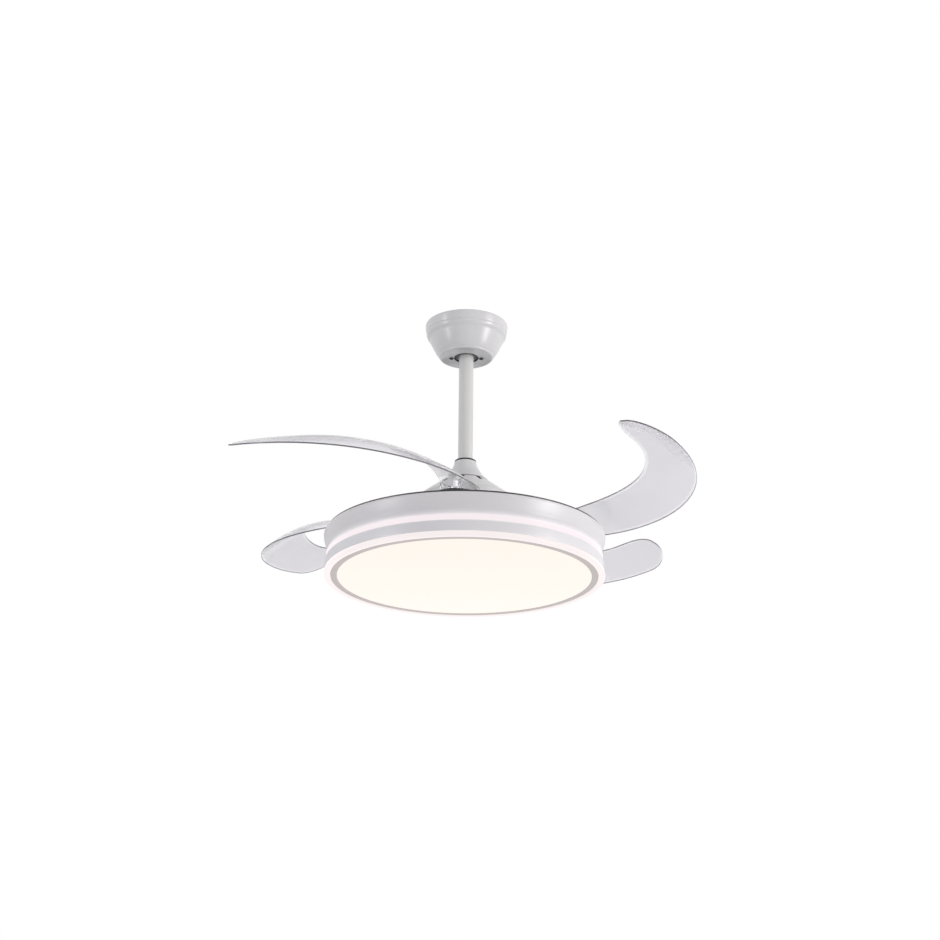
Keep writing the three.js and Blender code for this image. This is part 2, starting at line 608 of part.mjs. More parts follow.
function bladeCarrier() {
  const pivots = Array.from({ length: BLADE_COUNT }, (_, k) =>
    circle(SLEEVE_R + PIN_GAP, 16, polar(PIVOT_CIRCLE_R, PIVOT_AZIMUTH + k * 360 / BLADE_COUNT).toArray()));
  const flat = plate(carrierOutline(), CARRIER_BOTTOM, CARRIER_T,
    [circle(BEARING_R + SEAT_GAP, 24), ...pivots]);
  const seat = ring(BEARING_R + SEAT_GAP, ROTOR_BOSS_R, LOWER_BEARING_BOTTOM, CARRIER_BOTTOM + 1, 24);
  const gearRing = ring(CARRIER_RING_R - CARRIER_RING_W, CARRIER_RING_R, GEAR_BOTTOM, CARRIER_BOTTOM + 1, 28);
  return join(flat, seat, gearRing);
}

function rotorBell() {
  const inner = ROTOR_R - ROTOR_WALL;
  return turned([
    [inner, ROTOR_BOTTOM], [ROTOR_R, ROTOR_BOTTOM], [ROTOR_R, ROTOR_TOP - ROTOR_BEVEL],
    [ROTOR_R - ROTOR_BEVEL, ROTOR_TOP],
    [ROTOR_BOSS_R, ROTOR_TOP], [ROTOR_BOSS_R, ROTOR_BOSS_TOP], [BEARING_R + SEAT_GAP, ROTOR_BOSS_TOP],
    [BEARING_R + SEAT_GAP, UPPER_BEARING_BOTTOM], [inner, UPPER_BEARING_BOTTOM],
  ], 36);
}

function bearing(bottom) {
  return ring(SHAFT_R + SEAT_GAP, BEARING_R, bottom, bottom + BEARING_H, 24);
}

const magnetBottom = STATOR_MIDDLE - MAGNET_H / 2;
const retainerTop = GEAR_BOTTOM - SEAT_GAP;
const rotor = new THREE.Group();
hanging.add(rotor);
piece(rotor, 'blade_carrier', 'black', bladeCarrier());
piece(rotor, 'rotor_bell', 'steel', rotorBell());
piece(rotor, 'magnet_ring', 'black',
  ring(MAGNET_INNER_R, MAGNET_INNER_R + MAGNET_T, magnetBottom, magnetBottom + MAGNET_H, 36));
piece(rotor, 'lower_bearing', 'steel', bearing(LOWER_BEARING_BOTTOM));
piece(rotor, 'upper_bearing', 'steel', bearing(UPPER_BEARING_BOTTOM));
piece(rotor, 'gear_retainer', 'steel',
  ring(CARRIER_RING_R - CARRIER_RING_W, CARRIER_RING_R + RETAINER_LEDGE,
    retainerTop - RETAINER_T, retainerTop, 28));

// ---- Gears ---------------------------------------------------------------
// One tooth with straight flanks, in degrees from its middle.
function tooth(middle, teeth, centre) {
  const pitchR = GEAR_MODULE * teeth / 2;
  const step = 360 / teeth;
  const rootR = pitchR - TOOTH_FOOT * GEAR_MODULE;
  const tipR = pitchR + TOOTH_TOP * GEAR_MODULE;
  return [
    polar(rootR, middle - step * TOOTH_FOOT_HALF, centre),
    polar(tipR, middle - step * TOOTH_TOP_HALF, centre),
    polar(tipR, middle + step * TOOTH_TOP_HALF, centre),
    polar(rootR, middle + step * TOOTH_FOOT_HALF, centre),
  ];
}

function sunGear() {
  const outline = Array.from({ length: SUN_TEETH }, (_, i) =>
    tooth(PIVOT_AZIMUTH + i * 360 / SUN_TEETH, SUN_TEETH, [0, 0])).flat();
  return plate(outline, GEAR_BOTTOM, GEAR_T, [circle(CARRIER_RING_R + RUN_GAP, 28)]);
}

function bladeGear(centre) {
  const step = 360 / BLADE_GEAR_TEETH;
  const start = PIVOT_AZIMUTH + 180 - step / 2;
  const outline = Array.from({ length: BLADE_GEAR_TEETH_MADE }, (_, i) =>
    tooth(start + i * step, BLADE_GEAR_TEETH, centre)).flat();
  const end = start + (BLADE_GEAR_TEETH_MADE - 0.5) * step;
  const left = 360 - (BLADE_GEAR_TEETH_MADE + 1) * step;
  const hubSteps = 8;
  for (let i = 0; i <= hubSteps; i += 1) {
    outline.push(polar(BLADE_GEAR_HUB_R, end + step / 2 + left * i / hubSteps, centre));
  }
  const sector = plate(outline, GEAR_BOTTOM, GEAR_T, [circle(BOLT_R + PIN_GAP, 16, centre)]);
  const sleeve = ring(BOLT_R + PIN_GAP, SLEEVE_R, GEAR_TOP - 1, CARRIER_TOP, 16)
    .translate(centre[0], centre[1], 0);
  return join(sector, sleeve);
}

const sun = new THREE.Group();
hanging.add(sun);
piece(sun, 'sun_gear', 'nylon', sunGear());

// ---- Blades --------------------------------------------------------------
const OUTLINE_STEPS = 14;
const ACROSS_STEPS = 5;

// A station value at a share of the sweep, smoothly between the stations.
function station(key, turn) {
  const last = BLADE_STATIONS.length - 1;
  const place = THREE.MathUtils.clamp(turn, 0, 1) * last;
  const i = Math.min(Math.floor(place), last - 1);
  const at = (j) => BLADE_STATIONS[THREE.MathUtils.clamp(j, 0, last)][key];
  const t = place - i;
  const [a, b, c, d] = [at(i - 1), at(i), at(i + 1), at(i + 2)];
  return b + 0.5 * t * (c - a + t * (2 * a - 5 * b + 4 * c - d + t * (3 * (b - c) + d - a)));
}

function roundEnd(distance, length) {
  const share = THREE.MathUtils.clamp(distance / length, 0, 1);
  return Math.sqrt(Math.max(1 - (1 - share) ** 2, 0));
}

// A point of the blade's middle surface: across is 0 at the outer edge and 1 at the inner edge.
function bladePoint(turn, across) {
  const width = BLADE_W * station('width', turn);
  const inner = BLADE_EDGE_R - width;
  const rootR = Math.hypot(BLADE_ARC_ACROSS, BLADE_ARC_BACK);
  const tipR = inner + width * BLADE_TIP_PLACE;
  const spineR = turn < 0.5 ? rootR : tipR;
  const rootRound = roundEnd(turn, BLADE_ROOT_CAP);
  const outerR = spineR + (BLADE_EDGE_R - spineR) * rootRound * roundEnd(1 - turn, BLADE_TIP_CAP_OUTER);
  const innerR = spineR - (spineR - inner) * rootRound * roundEnd(1 - turn, BLADE_TIP_CAP_INNER);
  const radius = outerR + (innerR - outerR) * across;
  const chord = (BLADE_EDGE_R - radius) / width;
  const low = station('low', turn);
  const high = station('high', turn);
  const rise = low + (high - low) * chord + 4 * station('crown', turn) * chord * (1 - chord);
  const plan = polar(radius, BLADE_ROOT_ANGLE - BLADE_SWEEP * turn, arcCentre);
  return new THREE.Vector3(plan.x, plan.y, DISC_BOTTOM + BLADE_RISE * rise);
}

// Steps that crowd towards both ends, where the outline is round.
function eased(i, steps) {
  const t = i / steps;
  return 0.5 * t + 0.5 * (1 - Math.cos(Math.PI * t)) / 2;
}

// The closed skin between an upper and a lower surface over the blade's plan.
function bladeSkin(upper, lower) {
  const rows = [];
  for (let i = 0; i <= OUTLINE_STEPS; i += 1) {
    const turn = 0.002 + 0.996 * eased(i, OUTLINE_STEPS);
    rows.push(Array.from({ length: ACROSS_STEPS + 1 }, (_, j) => bladePoint(turn, j / ACROSS_STEPS)));
  }
  const corners = [];
  const lift = (point, height) => new THREE.Vector3(point.x, point.y, height(point.z));
  const quad = (a, b, c, d) => corners.push(a, c, b, a, d, c);
  for (let i = 0; i < OUTLINE_STEPS; i += 1) {
    for (let j = 0; j < ACROSS_STEPS; j += 1) {
      const [a, b, c, d] = [rows[i][j], rows[i + 1][j], rows[i + 1][j + 1], rows[i][j + 1]];
      quad(...[a, b, c, d].map((point) => lift(point, upper)));
      quad(...[d, c, b, a].map((point) => lift(point, lower)));
    }
  }
  const rim = [
    ...rows.map((row) => row[0]),
    ...rows.at(-1).slice(1),
    ...rows.map((row) => row[ACROSS_STEPS]).reverse().slice(1),
    ...rows[0].slice(1, -1).reverse(),
  ];
  rim.forEach((point, i) => {
    const next = rim[(i + 1) % rim.length];
    quad(lift(next, upper), lift(point, upper), lift(point, lower), lift(next, lower));
  });
  return new THREE.BufferGeometry().setFromPoints(corners);
}

// The deep ribbed root under the blade: a round disc, a boss, ribs and posts.
function bladeRoot(centre) {
  const high = DISC_TOP + ROOT_BLANK_H;
  const foot = DISC_BOTTOM + ROOT_DISC_T / 2;
  const ribL = ROOT_RIB_END_R - ROOT_RIB_START_R;
  const ribs = around(ROOT_RIB_COUNT, () =>
    block(ribL, ROOT_RIB_T, high - foot, [ROOT_RIB_START_R + ribL / 2, 0, (high + foot) / 2]),
  ROOT_RIB_AZIMUTH);
  const posts = around(ROOT_POST_COUNT, () =>
    disc(ROOT_POST_R, foot, high, 6).translate(ROOT_POST_CIRCLE_R, 0, 0));
  const boss = disc(ROOT_BOSS_R, foot, high, 16);
  const tall = join(boss, ...ribs, ...posts).translate(centre[0], centre[1], 0);
  const under = bladeSkin((z) => z, () => GEAR_BOTTOM);
  const trimmed = solid(tall).intersect(solid(under));
  const base = solid(disc(ROOT_DISC_R, DISC_BOTTOM, DISC_TOP, 24).translate(centre[0], centre[1], 0));
  return trimmed.add(base);
}

function blade(centre) {
  const half = BLADE_T / 2;
  const sheet = solid(bladeSkin((z) => z + half, (z) => z - half));
  const bolt = solid(disc(BOLT_R + PIN_GAP, 0, BLADE_EDGE_R, 16).translate(centre[0], centre[1], 0));
  const head = solid(disc(BOLT_HEAD_R + PIN_GAP, boltHeadBottom - SEAT_GAP, BLADE_EDGE_R, 16)
    .translate(centre[0], centre[1], 0));
  return geometryOf(sheet.add(bladeRoot(centre)).subtract(bolt).subtract(head));
}

function pivotBolt(centre) {
  const foot = GEAR_BOTTOM - SEAT_GAP;
  return turned([
    [0, foot - BOLT_FOOT_H], [BOLT_HEAD_R, foot - BOLT_FOOT_H], [BOLT_HEAD_R, foot], [BOLT_R, foot],
    [BOLT_R, boltHeadBottom], [BOLT_HEAD_R, boltHeadBottom], [BOLT_HEAD_R, boltHeadBottom + BOLT_HEAD_H],
    [0, boltHeadBottom + BOLT_HEAD_H],
  ], 12).translate(centre[0], centre[1], 0);
}

// A coil spring: one tube of five sides, with closed ends.
function returnSpring(centre) {
  const sides = 5;
  const stepsPerTurn = 8;
  const steps = Math.round(SPRING_TURNS * stepsPerTurn);
  const bottom = GEAR_TOP + SEAT_GAP + SPRING_WIRE_R;
  const rings = Array.from({ length: steps + 1 }, (_, i) => {
    const angle = 2 * Math.PI * i / stepsPerTurn;
    return Array.from({ length: sides }, (_, j) => {
      const turn = 2 * Math.PI * j / sides;
      const r = SPRING_COIL_R + SPRING_WIRE_R * Math.cos(turn);
      const z = bottom + SPRING_PITCH * i / stepsPerTurn + SPRING_WIRE_R * Math.sin(turn);
      return new THREE.Vector3(r * Math.cos(angle), r * Math.sin(angle), z);
    });
  });
  const corners = [];
  for (let i = 0; i < steps; i += 1) {
    for (let j = 0; j < sides; j += 1) {
      const k = (j + 1) % sides;
      corners.push(rings[i][j], rings[i + 1][j], rings[i + 1][k], rings[i][j], rings[i + 1][k], rings[i][k]);
    }
  }
  for (let j = 1; j < sides - 1; j += 1) {
    corners.push(rings[0][0], rings[0][j], rings[0][j + 1]);
    corners.push(rings[steps][0], rings[steps][j + 1], rings[steps][j]);
  }
  return new THREE.BufferGeometry().setFromPoints(corners).translate(centre[0], centre[1], 0);
}

const pivot = polar(PIVOT_CIRCLE_R, PIVOT_AZIMUTH).toArray();
const arcCentre = [pivot[0] + BLADE_ARC_ACROSS, pivot[1] + BLADE_ARC_BACK];
const boltHeadBottom = DISC_TOP + BOLT_SEAT_H;
const bladeShape = blade(pivot);
const gearShape = bladeGear(pivot);
const springShape = returnSpring(pivot);
const boltShape = pivotBolt(pivot);
for (let k = 0; k < BLADE_COUNT; k += 1) {
  const arm = new THREE.Group();
  arm.rotation.z = 2 * Math.PI * k / BLADE_COUNT;
  hanging.add(arm);
  piece(arm, `blade_${k + 1}`, 'clear', bladeShape);
  piece(arm, `blade_gear_${k + 1}`, 'nylon', gearShape);
  piece(arm, `return_spring_${k + 1}`, 'steel', springShape);
  piece(arm, `pivot_bolt_${k + 1}`, 'steel', boltShape);
}

// ---- Lamp ----------------------------------------------------------------
const LAMP_SEGMENTS = 40;
const PLATE_R = LAMP_WAIST_R - LAMP_WALL - SEAT_GAP;
const PLATE_RIM_R = DRUM_R - LAMP_WALL - SEAT_GAP;

function plateScrewHoles(bottom, top) {
  return around(PLATE_SCREW_COUNT, () => disc(PLATE_SCREW_R + PIN_GAP, bottom - 1, top + 1, 10)
    .translate(PLATE_SCREW_CIRCLE_R, 0, 0));
}

function lampTopPlate() {
  const skirtR = PLATE_R - TOP_PLATE_T;
  const rimTop = PLATE_TOP - TOP_PLATE_DROOP;
  const shell = turned([
    [SHAFT_R + PIN_GAP, PAN_UNDERSIDE], [skirtR, PAN_UNDERSIDE], [skirtR, PLATE_TOP - TOP_PLATE_SKIRT],
    [PLATE_R, PLATE_TOP - TOP_PLATE_SKIRT], [PLATE_R, rimTop - TOP_PLATE_RIM_H],
    [PLATE_RIM_R, rimTop - TOP_PLATE_RIM_H], [PLATE_RIM_R, rimTop], [PLATE_R, PLATE_TOP],
    [SHAFT_R + PIN_GAP, PLATE_TOP],
  ], LAMP_SEGMENTS);
  return cut(shell, ...plateScrewHoles(PAN_UNDERSIDE, PLATE_TOP));
}

// The drum narrows to a crease, and widens again to the glowing ring under it.
function lampDrum() {
  const crease = DRUM_BOTTOM + DRUM_CREASE_RISE;
  const bevelTop = crease + DRUM_BEVEL_H;
  const spread = DRUM_R - LAMP_WAIST_R;
  const innerR = LAMP_WAIST_R - LAMP_WALL;
  return turned([
    [innerR, DRUM_BOTTOM], [HALO_R - 1, DRUM_BOTTOM], [LAMP_WAIST_R, crease],
    [LAMP_WAIST_R + spread * 0.45, crease + DRUM_BEVEL_H * 0.4],
    [LAMP_WAIST_R + spread * 0.82, crease + DRUM_BEVEL_H * 0.75],
    [DRUM_R, bevelTop], [DRUM_R, DRUM_TOP - DRUM_LIP_H], [DRUM_R - DRUM_LIP_H, DRUM_TOP],
    [DRUM_R - LAMP_WALL, DRUM_TOP - DRUM_LIP_H], [DRUM_R - LAMP_WALL, bevelTop],
    [innerR, crease],
  ], LAMP_SEGMENTS);
}

function haloRing() {
  return ring(LAMP_R - BOTTOM_RING_W, HALO_R, HALO_BOTTOM, HALO_TOP, LAMP_SEGMENTS);
}

function lowerBand() {
  return turned([
    [LAMP_R - BOTTOM_RING_W, BAND_BOTTOM], [LAMP_R - BAND_INSET, BAND_BOTTOM],
    [LAMP_R - BAND_INSET, BAND_BOTTOM + LOWER_BAND_H / 2],
    [LAMP_R - 2 * BAND_INSET, BAND_TOP], [LAMP_R - BOTTOM_RING_W, BAND_TOP],
  ], LAMP_SEGMENTS);
}

function bottomRing() {
  return turned([
    [TRIM_OUTER_R + SEAT_GAP, BOTTOM_RING_EDGE], [LAMP_R - 2 * BOTTOM_RING_EDGE, 0],
    [LAMP_R, BOTTOM_RING_EDGE], [LAMP_R - BAND_INSET, BOTTOM_RING_H], [LAMP_R - BOTTOM_RING_W, BOTTOM_RING_H],
    [LAMP_R - BOTTOM_RING_W, TRIM_RISE + TRIM_H], [TRIM_OUTER_R + SEAT_GAP, TRIM_RISE + TRIM_H],
  ], LAMP_SEGMENTS);
}

function diffuser() {
  const bottom = TRIM_RISE + DIFFUSER_RISE;
  return disc(TRIM_INNER_R - SEAT_GAP, bottom, bottom + DIFFUSER_T, LAMP_SEGMENTS);
}

// The board with the lamps that are soldered to its underside.
function ledBoard() {
  const underside = LED_BOARD_TOP - LED_BOARD_T;
  const board = ring(LED_BOARD_HOLE_R, LED_BOARD_R, underside, LED_BOARD_TOP, 40);
  const chips = around(LED_CHIP_COUNT, () =>
    block(LED_CHIP_SIZE, LED_CHIP_SIZE, 2 * LED_CHIP_T,
      [(LED_BOARD_R + LED_BOARD_HOLE_R) / 2, 0, underside]));
  return join(board, ...chips);
}

function ledStandoff(azimuth) {
  const place = polar(LED_BOARD_R - LED_STANDOFF_INSET, azimuth);
  return disc(LED_STANDOFF_R, LED_BOARD_TOP + SEAT_GAP, PAN_UNDERSIDE - SEAT_GAP, 10)
    .translate(place.x, place.y, 0);
}

function ledDriver() {
  const [x, y, z] = DRIVER_SIZE;
  const beside = PLATE_SCREW_CIRCLE_R + PLATE_SCREW_HEAD_R + DRIVER_GAP + y / 2;
  return block(x, y, z, [0, beside, PAN_UNDERSIDE - SEAT_GAP - z / 2]);
}

function hangerPlate() {
  const bottom = PLATE_TOP + SEAT_GAP;
  const top = bottom + HANGER_PLATE_T;
  return cut(ring(SHAFT_R + PIN_GAP, HANGER_PLATE_R, bottom, top, 28), ...plateScrewHoles(bottom, top));
}

function plateScrew(azimuth) {
  const head = PAN_UNDERSIDE - SEAT_GAP;
  const end = PLATE_TOP + SEAT_GAP + HANGER_PLATE_T;
  const place = polar(PLATE_SCREW_CIRCLE_R, azimuth);
  return turned([
    [0, head - PLATE_SCREW_HEAD_H], [PLATE_SCREW_HEAD_R, head - PLATE_SCREW_HEAD_H],
    [PLATE_SCREW_HEAD_R, head], [PLATE_SCREW_R, head], [PLATE_SCREW_R, end], [0, end],
  ], 12).translate(place.x, place.y, 0);
}

function shaftNut() {
  const hexagon = disc(NUT_R, NUT_TOP - NUT_H, NUT_TOP, 6);
  return cut(hexagon, disc(SHAFT_R + PIN_GAP, NUT_TOP - NUT_H - 1, NUT_TOP + 1, 20));
}

piece(hanging, 'lamp_hanger_plate', 'steel', hangerPlate());
piece(hanging, 'lamp_top_plate', 'black', lampTopPlate());
piece(hanging, 'shaft_nut', 'steel', shaftNut());
piece(hanging, 'lamp_drum', 'whitePaint', lampDrum());
piece(hanging, 'halo_ring', 'glow', haloRing());
piece(hanging, 'lower_band', 'whitePaint', lowerBand());
piece(hanging, 'bottom_ring', 'glow', bottomRing());
piece(hanging, 'trim_ring', 'greyTrim',
  ring(TRIM_INNER_R, TRIM_OUTER_R, TRIM_RISE, TRIM_RISE + TRIM_H, LAMP_SEGMENTS));
piece(hanging, 'diffuser', 'glow', diffuser());
piece(hanging, 'led_board', 'circuit', ledBoard());
piece(hanging, 'led_driver', 'whitePlastic', ledDriver());

for (let k = 0; k < PLATE_SCREW_COUNT; k += 1) {
  piece(hanging, `lamp_plate_screw_${k + 1}`, 'steel', plateScrew(360 * k / PLATE_SCREW_COUNT));
}
for (let k = 0; k < LED_STANDOFF_COUNT; k += 1) {
  piece(hanging, `led_standoff_${k + 1}`, 'steel', ledStandoff(360 * (k + 0.5) / LED_STANDOFF_COUNT));
}

export default fan;
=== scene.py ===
from math import asin, atan2, cos, hypot, pi, radians, sin, sqrt

import bmesh
import bpy
from mathutils import Matrix, Vector


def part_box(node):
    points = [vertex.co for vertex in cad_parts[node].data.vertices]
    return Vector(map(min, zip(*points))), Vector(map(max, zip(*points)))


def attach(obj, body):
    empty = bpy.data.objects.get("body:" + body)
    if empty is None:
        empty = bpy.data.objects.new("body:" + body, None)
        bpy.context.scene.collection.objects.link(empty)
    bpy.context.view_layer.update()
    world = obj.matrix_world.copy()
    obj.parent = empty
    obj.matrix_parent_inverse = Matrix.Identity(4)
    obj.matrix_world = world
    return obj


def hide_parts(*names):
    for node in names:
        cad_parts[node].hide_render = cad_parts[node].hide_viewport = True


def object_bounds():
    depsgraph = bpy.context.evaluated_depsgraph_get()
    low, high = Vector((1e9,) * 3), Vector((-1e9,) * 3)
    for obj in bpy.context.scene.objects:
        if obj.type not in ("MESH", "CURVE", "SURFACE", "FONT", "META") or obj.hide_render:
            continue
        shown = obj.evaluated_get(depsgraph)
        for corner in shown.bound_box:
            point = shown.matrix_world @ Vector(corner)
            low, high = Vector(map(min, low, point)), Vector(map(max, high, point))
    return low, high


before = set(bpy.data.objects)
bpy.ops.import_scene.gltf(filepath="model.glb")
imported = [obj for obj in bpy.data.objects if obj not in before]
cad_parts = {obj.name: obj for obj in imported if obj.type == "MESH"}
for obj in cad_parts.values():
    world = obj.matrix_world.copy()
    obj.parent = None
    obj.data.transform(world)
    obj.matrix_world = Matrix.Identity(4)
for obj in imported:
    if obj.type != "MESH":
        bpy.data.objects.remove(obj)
cad_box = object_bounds()
MM = 0.001
LAMP_DROP = -cad_box[0][2] / MM  # from the ceiling down to the lamp's lower edge

# ---- Camera, studio light and floor -------------------------------------
# The camera stands well below the lamp and looks up at it. The room is a pale floor far below and an
# even white surround, with two soft boxes beside the fan that draw the highlights on the paint.
CAMERA_PLACE = (0.01448, -2.8996, -1.37824)
CAMERA_PITCH = radians(20.602)
CAMERA_YAW = radians(-0.117)
CAMERA_ROLL = radians(0.457)
CAMERA_LENS = 65.07
FLOOR_HEIGHT = -2.6
FLOOR_R = 14.0
FLOOR_PALENESS = 0.42
SURROUND_LIGHT = 0.42
SOFT_BOXES = (
    # name, place, size, power, colour
    ("soft_box_right", (3.1, -1.4, -0.5), (0.9, 2.4), 72, (1.0, 0.99, 0.98)),
    ("soft_box_left", (-3.0, -1.7, -0.3), (0.6, 2.4), 38, (0.97, 0.98, 1.0)),
)
SOFT_BOX_AIM = Vector((0, 0, -0.3))


def put_camera():
    ahead = Vector((sin(CAMERA_YAW) * cos(CAMERA_PITCH), cos(CAMERA_YAW) * cos(CAMERA_PITCH),
                    sin(CAMERA_PITCH)))
    level = Vector((cos(CAMERA_YAW), -sin(CAMERA_YAW), 0))
    upright = level.cross(ahead)
    right = level * cos(CAMERA_ROLL) + upright * sin(CAMERA_ROLL)
    up = upright * cos(CAMERA_ROLL) - level * sin(CAMERA_ROLL)
    camera = bpy.data.objects.new("camera", bpy.data.cameras.new("camera"))
    facing = Matrix((right, up, -ahead)).transposed().to_4x4()
    camera.matrix_world = Matrix.Translation(CAMERA_PLACE) @ facing
    camera.data.sensor_width = 36
    camera.data.lens = CAMERA_LENS
    camera.data.clip_end = 100
    bpy.context.scene.collection.objects.link(camera)
    bpy.context.scene.camera = camera


def put_soft_box(name, place, size, power, colour):
    lamp = bpy.data.lights.new(name, "AREA")
    lamp.shape = "RECTANGLE"
    lamp.size, lamp.size_y = size
    lamp.energy = power
    lamp.color = colour
    box = bpy.data.objects.new(name, lamp)
    box.location = place
    box.rotation_euler = (SOFT_BOX_AIM - Vector(place)).to_track_quat("-Z", "Y").to_euler()
    bpy.context.scene.collection.objects.link(box)


def worked_out(tree, operation, *values):
    """The result of a new math node. Each value is a number or another node's output."""
    node = tree.nodes.new("ShaderNodeMath")
    node.operation = operation
    for socket, value in zip(node.inputs, values):
        if isinstance(value, (int, float)):
            socket.default_value = value
        else:
            tree.links.new(value, socket)
    return node.outputs[0]


def seen_directly(tree):
    """1 where a ray comes from the camera, a mirror or clear plastic, and 0 for the light on things."""
    path = tree.nodes.new("ShaderNodeLightPath").outputs
    shown = worked_out(tree, "MAXIMUM", path["Is Camera Ray"], path["Is Glossy Ray"])
    return worked_out(tree, "MAXIMUM", shown, path["Is Transmission Ray"])


def mesh_from(work, name):
    mesh = bpy.data.meshes.new(name)
    work.to_mesh(mesh)
    work.free()
    return mesh


def paint_surround():
    world = bpy.data.worlds.new("surround")
    bpy.context.scene.world = world
    world.use_nodes = True
    nodes, links = world.node_tree.nodes, world.node_tree.links
    nodes.clear()
    light = nodes.new("ShaderNodeBackground")
    light.inputs["Color"].default_value = (1.0, 0.99, 1.0, 1)
    light.inputs["Strength"].default_value = SURROUND_LIGHT
    white = nodes.new("ShaderNodeBackground")
    white.inputs["Color"].default_value = (1, 1, 1, 1)
    mix = nodes.new("ShaderNodeMixShader")
    out = nodes.new("ShaderNodeOutputWorld")
    links.new(seen_directly(world.node_tree), mix.inputs[0])
    links.new(light.outputs[0], mix.inputs[1])
    links.new(white.outputs[0], mix.inputs[2])
    links.new(mix.outputs[0], out.inputs[0])


def lay_floor():
    """A round of pale paper. Its glow is only seen, by the rays that see the surround's white."""
    work = bmesh.new()
    bmesh.ops.create_circle(work, cap_ends=True, segments=96, radius=FLOOR_R)
    mesh = mesh_from(work, "floor")
    floor = bpy.data.objects.new("floor", mesh)
    floor.location.z = FLOOR_HEIGHT
    bpy.context.scene.collection.objects.link(floor)
    paper = bpy.data.materials.new("floor_paper")
    paper.use_nodes = True
    tree = paper.node_tree
    body = tree.nodes["Principled BSDF"]
    body.inputs["Base Color"].default_value = (0.9, 0.9, 0.9, 1)
    body.inputs["Roughness"].default_value = 0.9
    body.inputs["Emission Color"].default_value = (1, 1, 1, 1)
    paler = worked_out(tree, "MULTIPLY", seen_directly(tree), FLOOR_PALENESS)
    tree.links.new(paler, body.inputs["Emission Strength"])
    mesh.materials.append(paper)


bpy.context.scene.view_settings.view_transform = "Standard"
put_camera()
paint_surround()
lay_floor()
for soft_box in SOFT_BOXES:
    put_soft_box(*soft_box)

# ---- Ceiling bracket, receiver and terminal block ------------------------
# The bracket is bent from zinc-plated strip. The receiver lies in it in a white plastic case,
# with a nylon terminal block beside it. They keep the shapes of the solids.


def finish(name, colour, rough, metal=0.0, tone=0.04, grain=0.6, bump=0.02, stretch=(1, 1, 1)):
    """A plain surface with the slight unevenness of a real one: its tone, gloss and skin all vary."""
    made = bpy.data.materials.new(name)
    made.use_nodes = True
    nodes, links = made.node_tree.nodes, made.node_tree.links
    body = nodes["Principled BSDF"]
    place = nodes.new("ShaderNodeTexCoord")
    turn = nodes.new("ShaderNodeMapping")
    turn.inputs["Scale"].default_value = stretch
    links.new(place.outputs["Object"], turn.inputs["Vector"])
    broad = nodes.new("ShaderNodeTexNoise")
    broad.inputs["Scale"].default_value = 14
    broad.inputs["Detail"].default_value = 3
    links.new(turn.outputs["Vector"], broad.inputs["Vector"])
    shade = nodes.new("ShaderNodeValToRGB")
    for mark, at, share in zip(shade.color_ramp.elements, (0.3, 0.7), (1 - tone, 1 + tone)):
        mark.position = at
        mark.color = [min(c * share, 1) for c in colour] + [1]
    links.new(broad.outputs["Fac"], shade.inputs["Fac"])
    links.new(shade.outputs["Color"], body.inputs["Base Color"])
    fine = nodes.new("ShaderNodeTexNoise")
    fine.inputs["Scale"].default_value = 1 / (grain * MM)
    fine.inputs["Detail"].default_value = 2
    links.new(turn.outputs["Vector"], fine.inputs["Vector"])
    gloss = nodes.new("ShaderNodeMapRange")
    gloss.inputs["To Min"].default_value = rough * 0.85
    gloss.inputs["To Max"].default_value = min(rough * 1.15, 1)
    links.new(fine.outputs["Fac"], gloss.inputs["Value"])
    links.new(gloss.outputs["Result"], body.inputs["Roughness"])
    skin = nodes.new("ShaderNodeBump")
    skin.inputs["Strength"].default_value = 0.25
    skin.inputs["Distance"].default_value = bump * MM
    links.new(fine.outputs["Fac"], skin.inputs["Height"])
    links.new(skin.outputs["Normal"], body.inputs["Normal"])
    body.inputs["Metallic"].default_value = metal
    return made


def dress(node, material):
    """Gives a solid of the frame its finish."""
    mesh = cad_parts[node].data
    mesh.materials.clear()
    mesh.materials.append(material)


zinc = finish("zinc_plate", (0.56, 0.57, 0.59), 0.38, metal=0.9, tone=0.12, grain=1.5)
case_white = finish("case_plastic", (0.82, 0.82, 0.83), 0.5, grain=0.4, bump=0.03)
nylon = finish("natural_nylon", (0.80, 0.77, 0.69), 0.45, tone=0.05, grain=0.8)
dress("ceiling_bracket", zinc)
dress("receiver_box", case_white)
dress("terminal_block", nylon)

# ---- Canopy ---------------------------------------------------------------
# A deep-drawn steel cup in satin white paint. It has a rolled lip, a small step under it, and a
# flat bottom with a black-edged hole for the rod. It is slid up the rod and screwed to the bracket.
CANOPY_FORM = (
    # radius, depth below the rim. The last three points are the bottom bead's, and have no inside.
    (76.6, 0), (77, 1.2), (76.9, 4), (76.3, 9), (75.6, 14), (74.9, 15.8), (74.3, 16.4), (74.7, 17.4),
    (74.5, 19.5), (73.5, 22.4), (71.6, 25), (69.8, 27.2), (68.5, 29.6), (67.2, 32.6), (65, 37.5),
    (61.9, 44), (57.9, 51.5), (54.4, 57), (52, 60.2), (50.7, 61.6), (50.2, 62.6), (49.6, 63.8),
    (48, 64.8), (46, 65), (43.8, 64.2),
)
CANOPY_WALL = 1.6
CANOPY_HOLE_R = 21.5
CANOPY_INNER_BEND = 4  # how far inside the bottom bead the wall meets the flat bottom
CANOPY_BOTTOM_LIFT = 0.6
HOLE_RING_W = 1.3
HOLE_RING_H = 3
HOLE_RING_LIP = 0.4
HOLE_RING_GAP = 0.1


def span(node):
    """A round solid's outer radius, lowest and highest point."""
    low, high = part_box(node)
    return high.x / MM, low.z / MM, high.z / MM


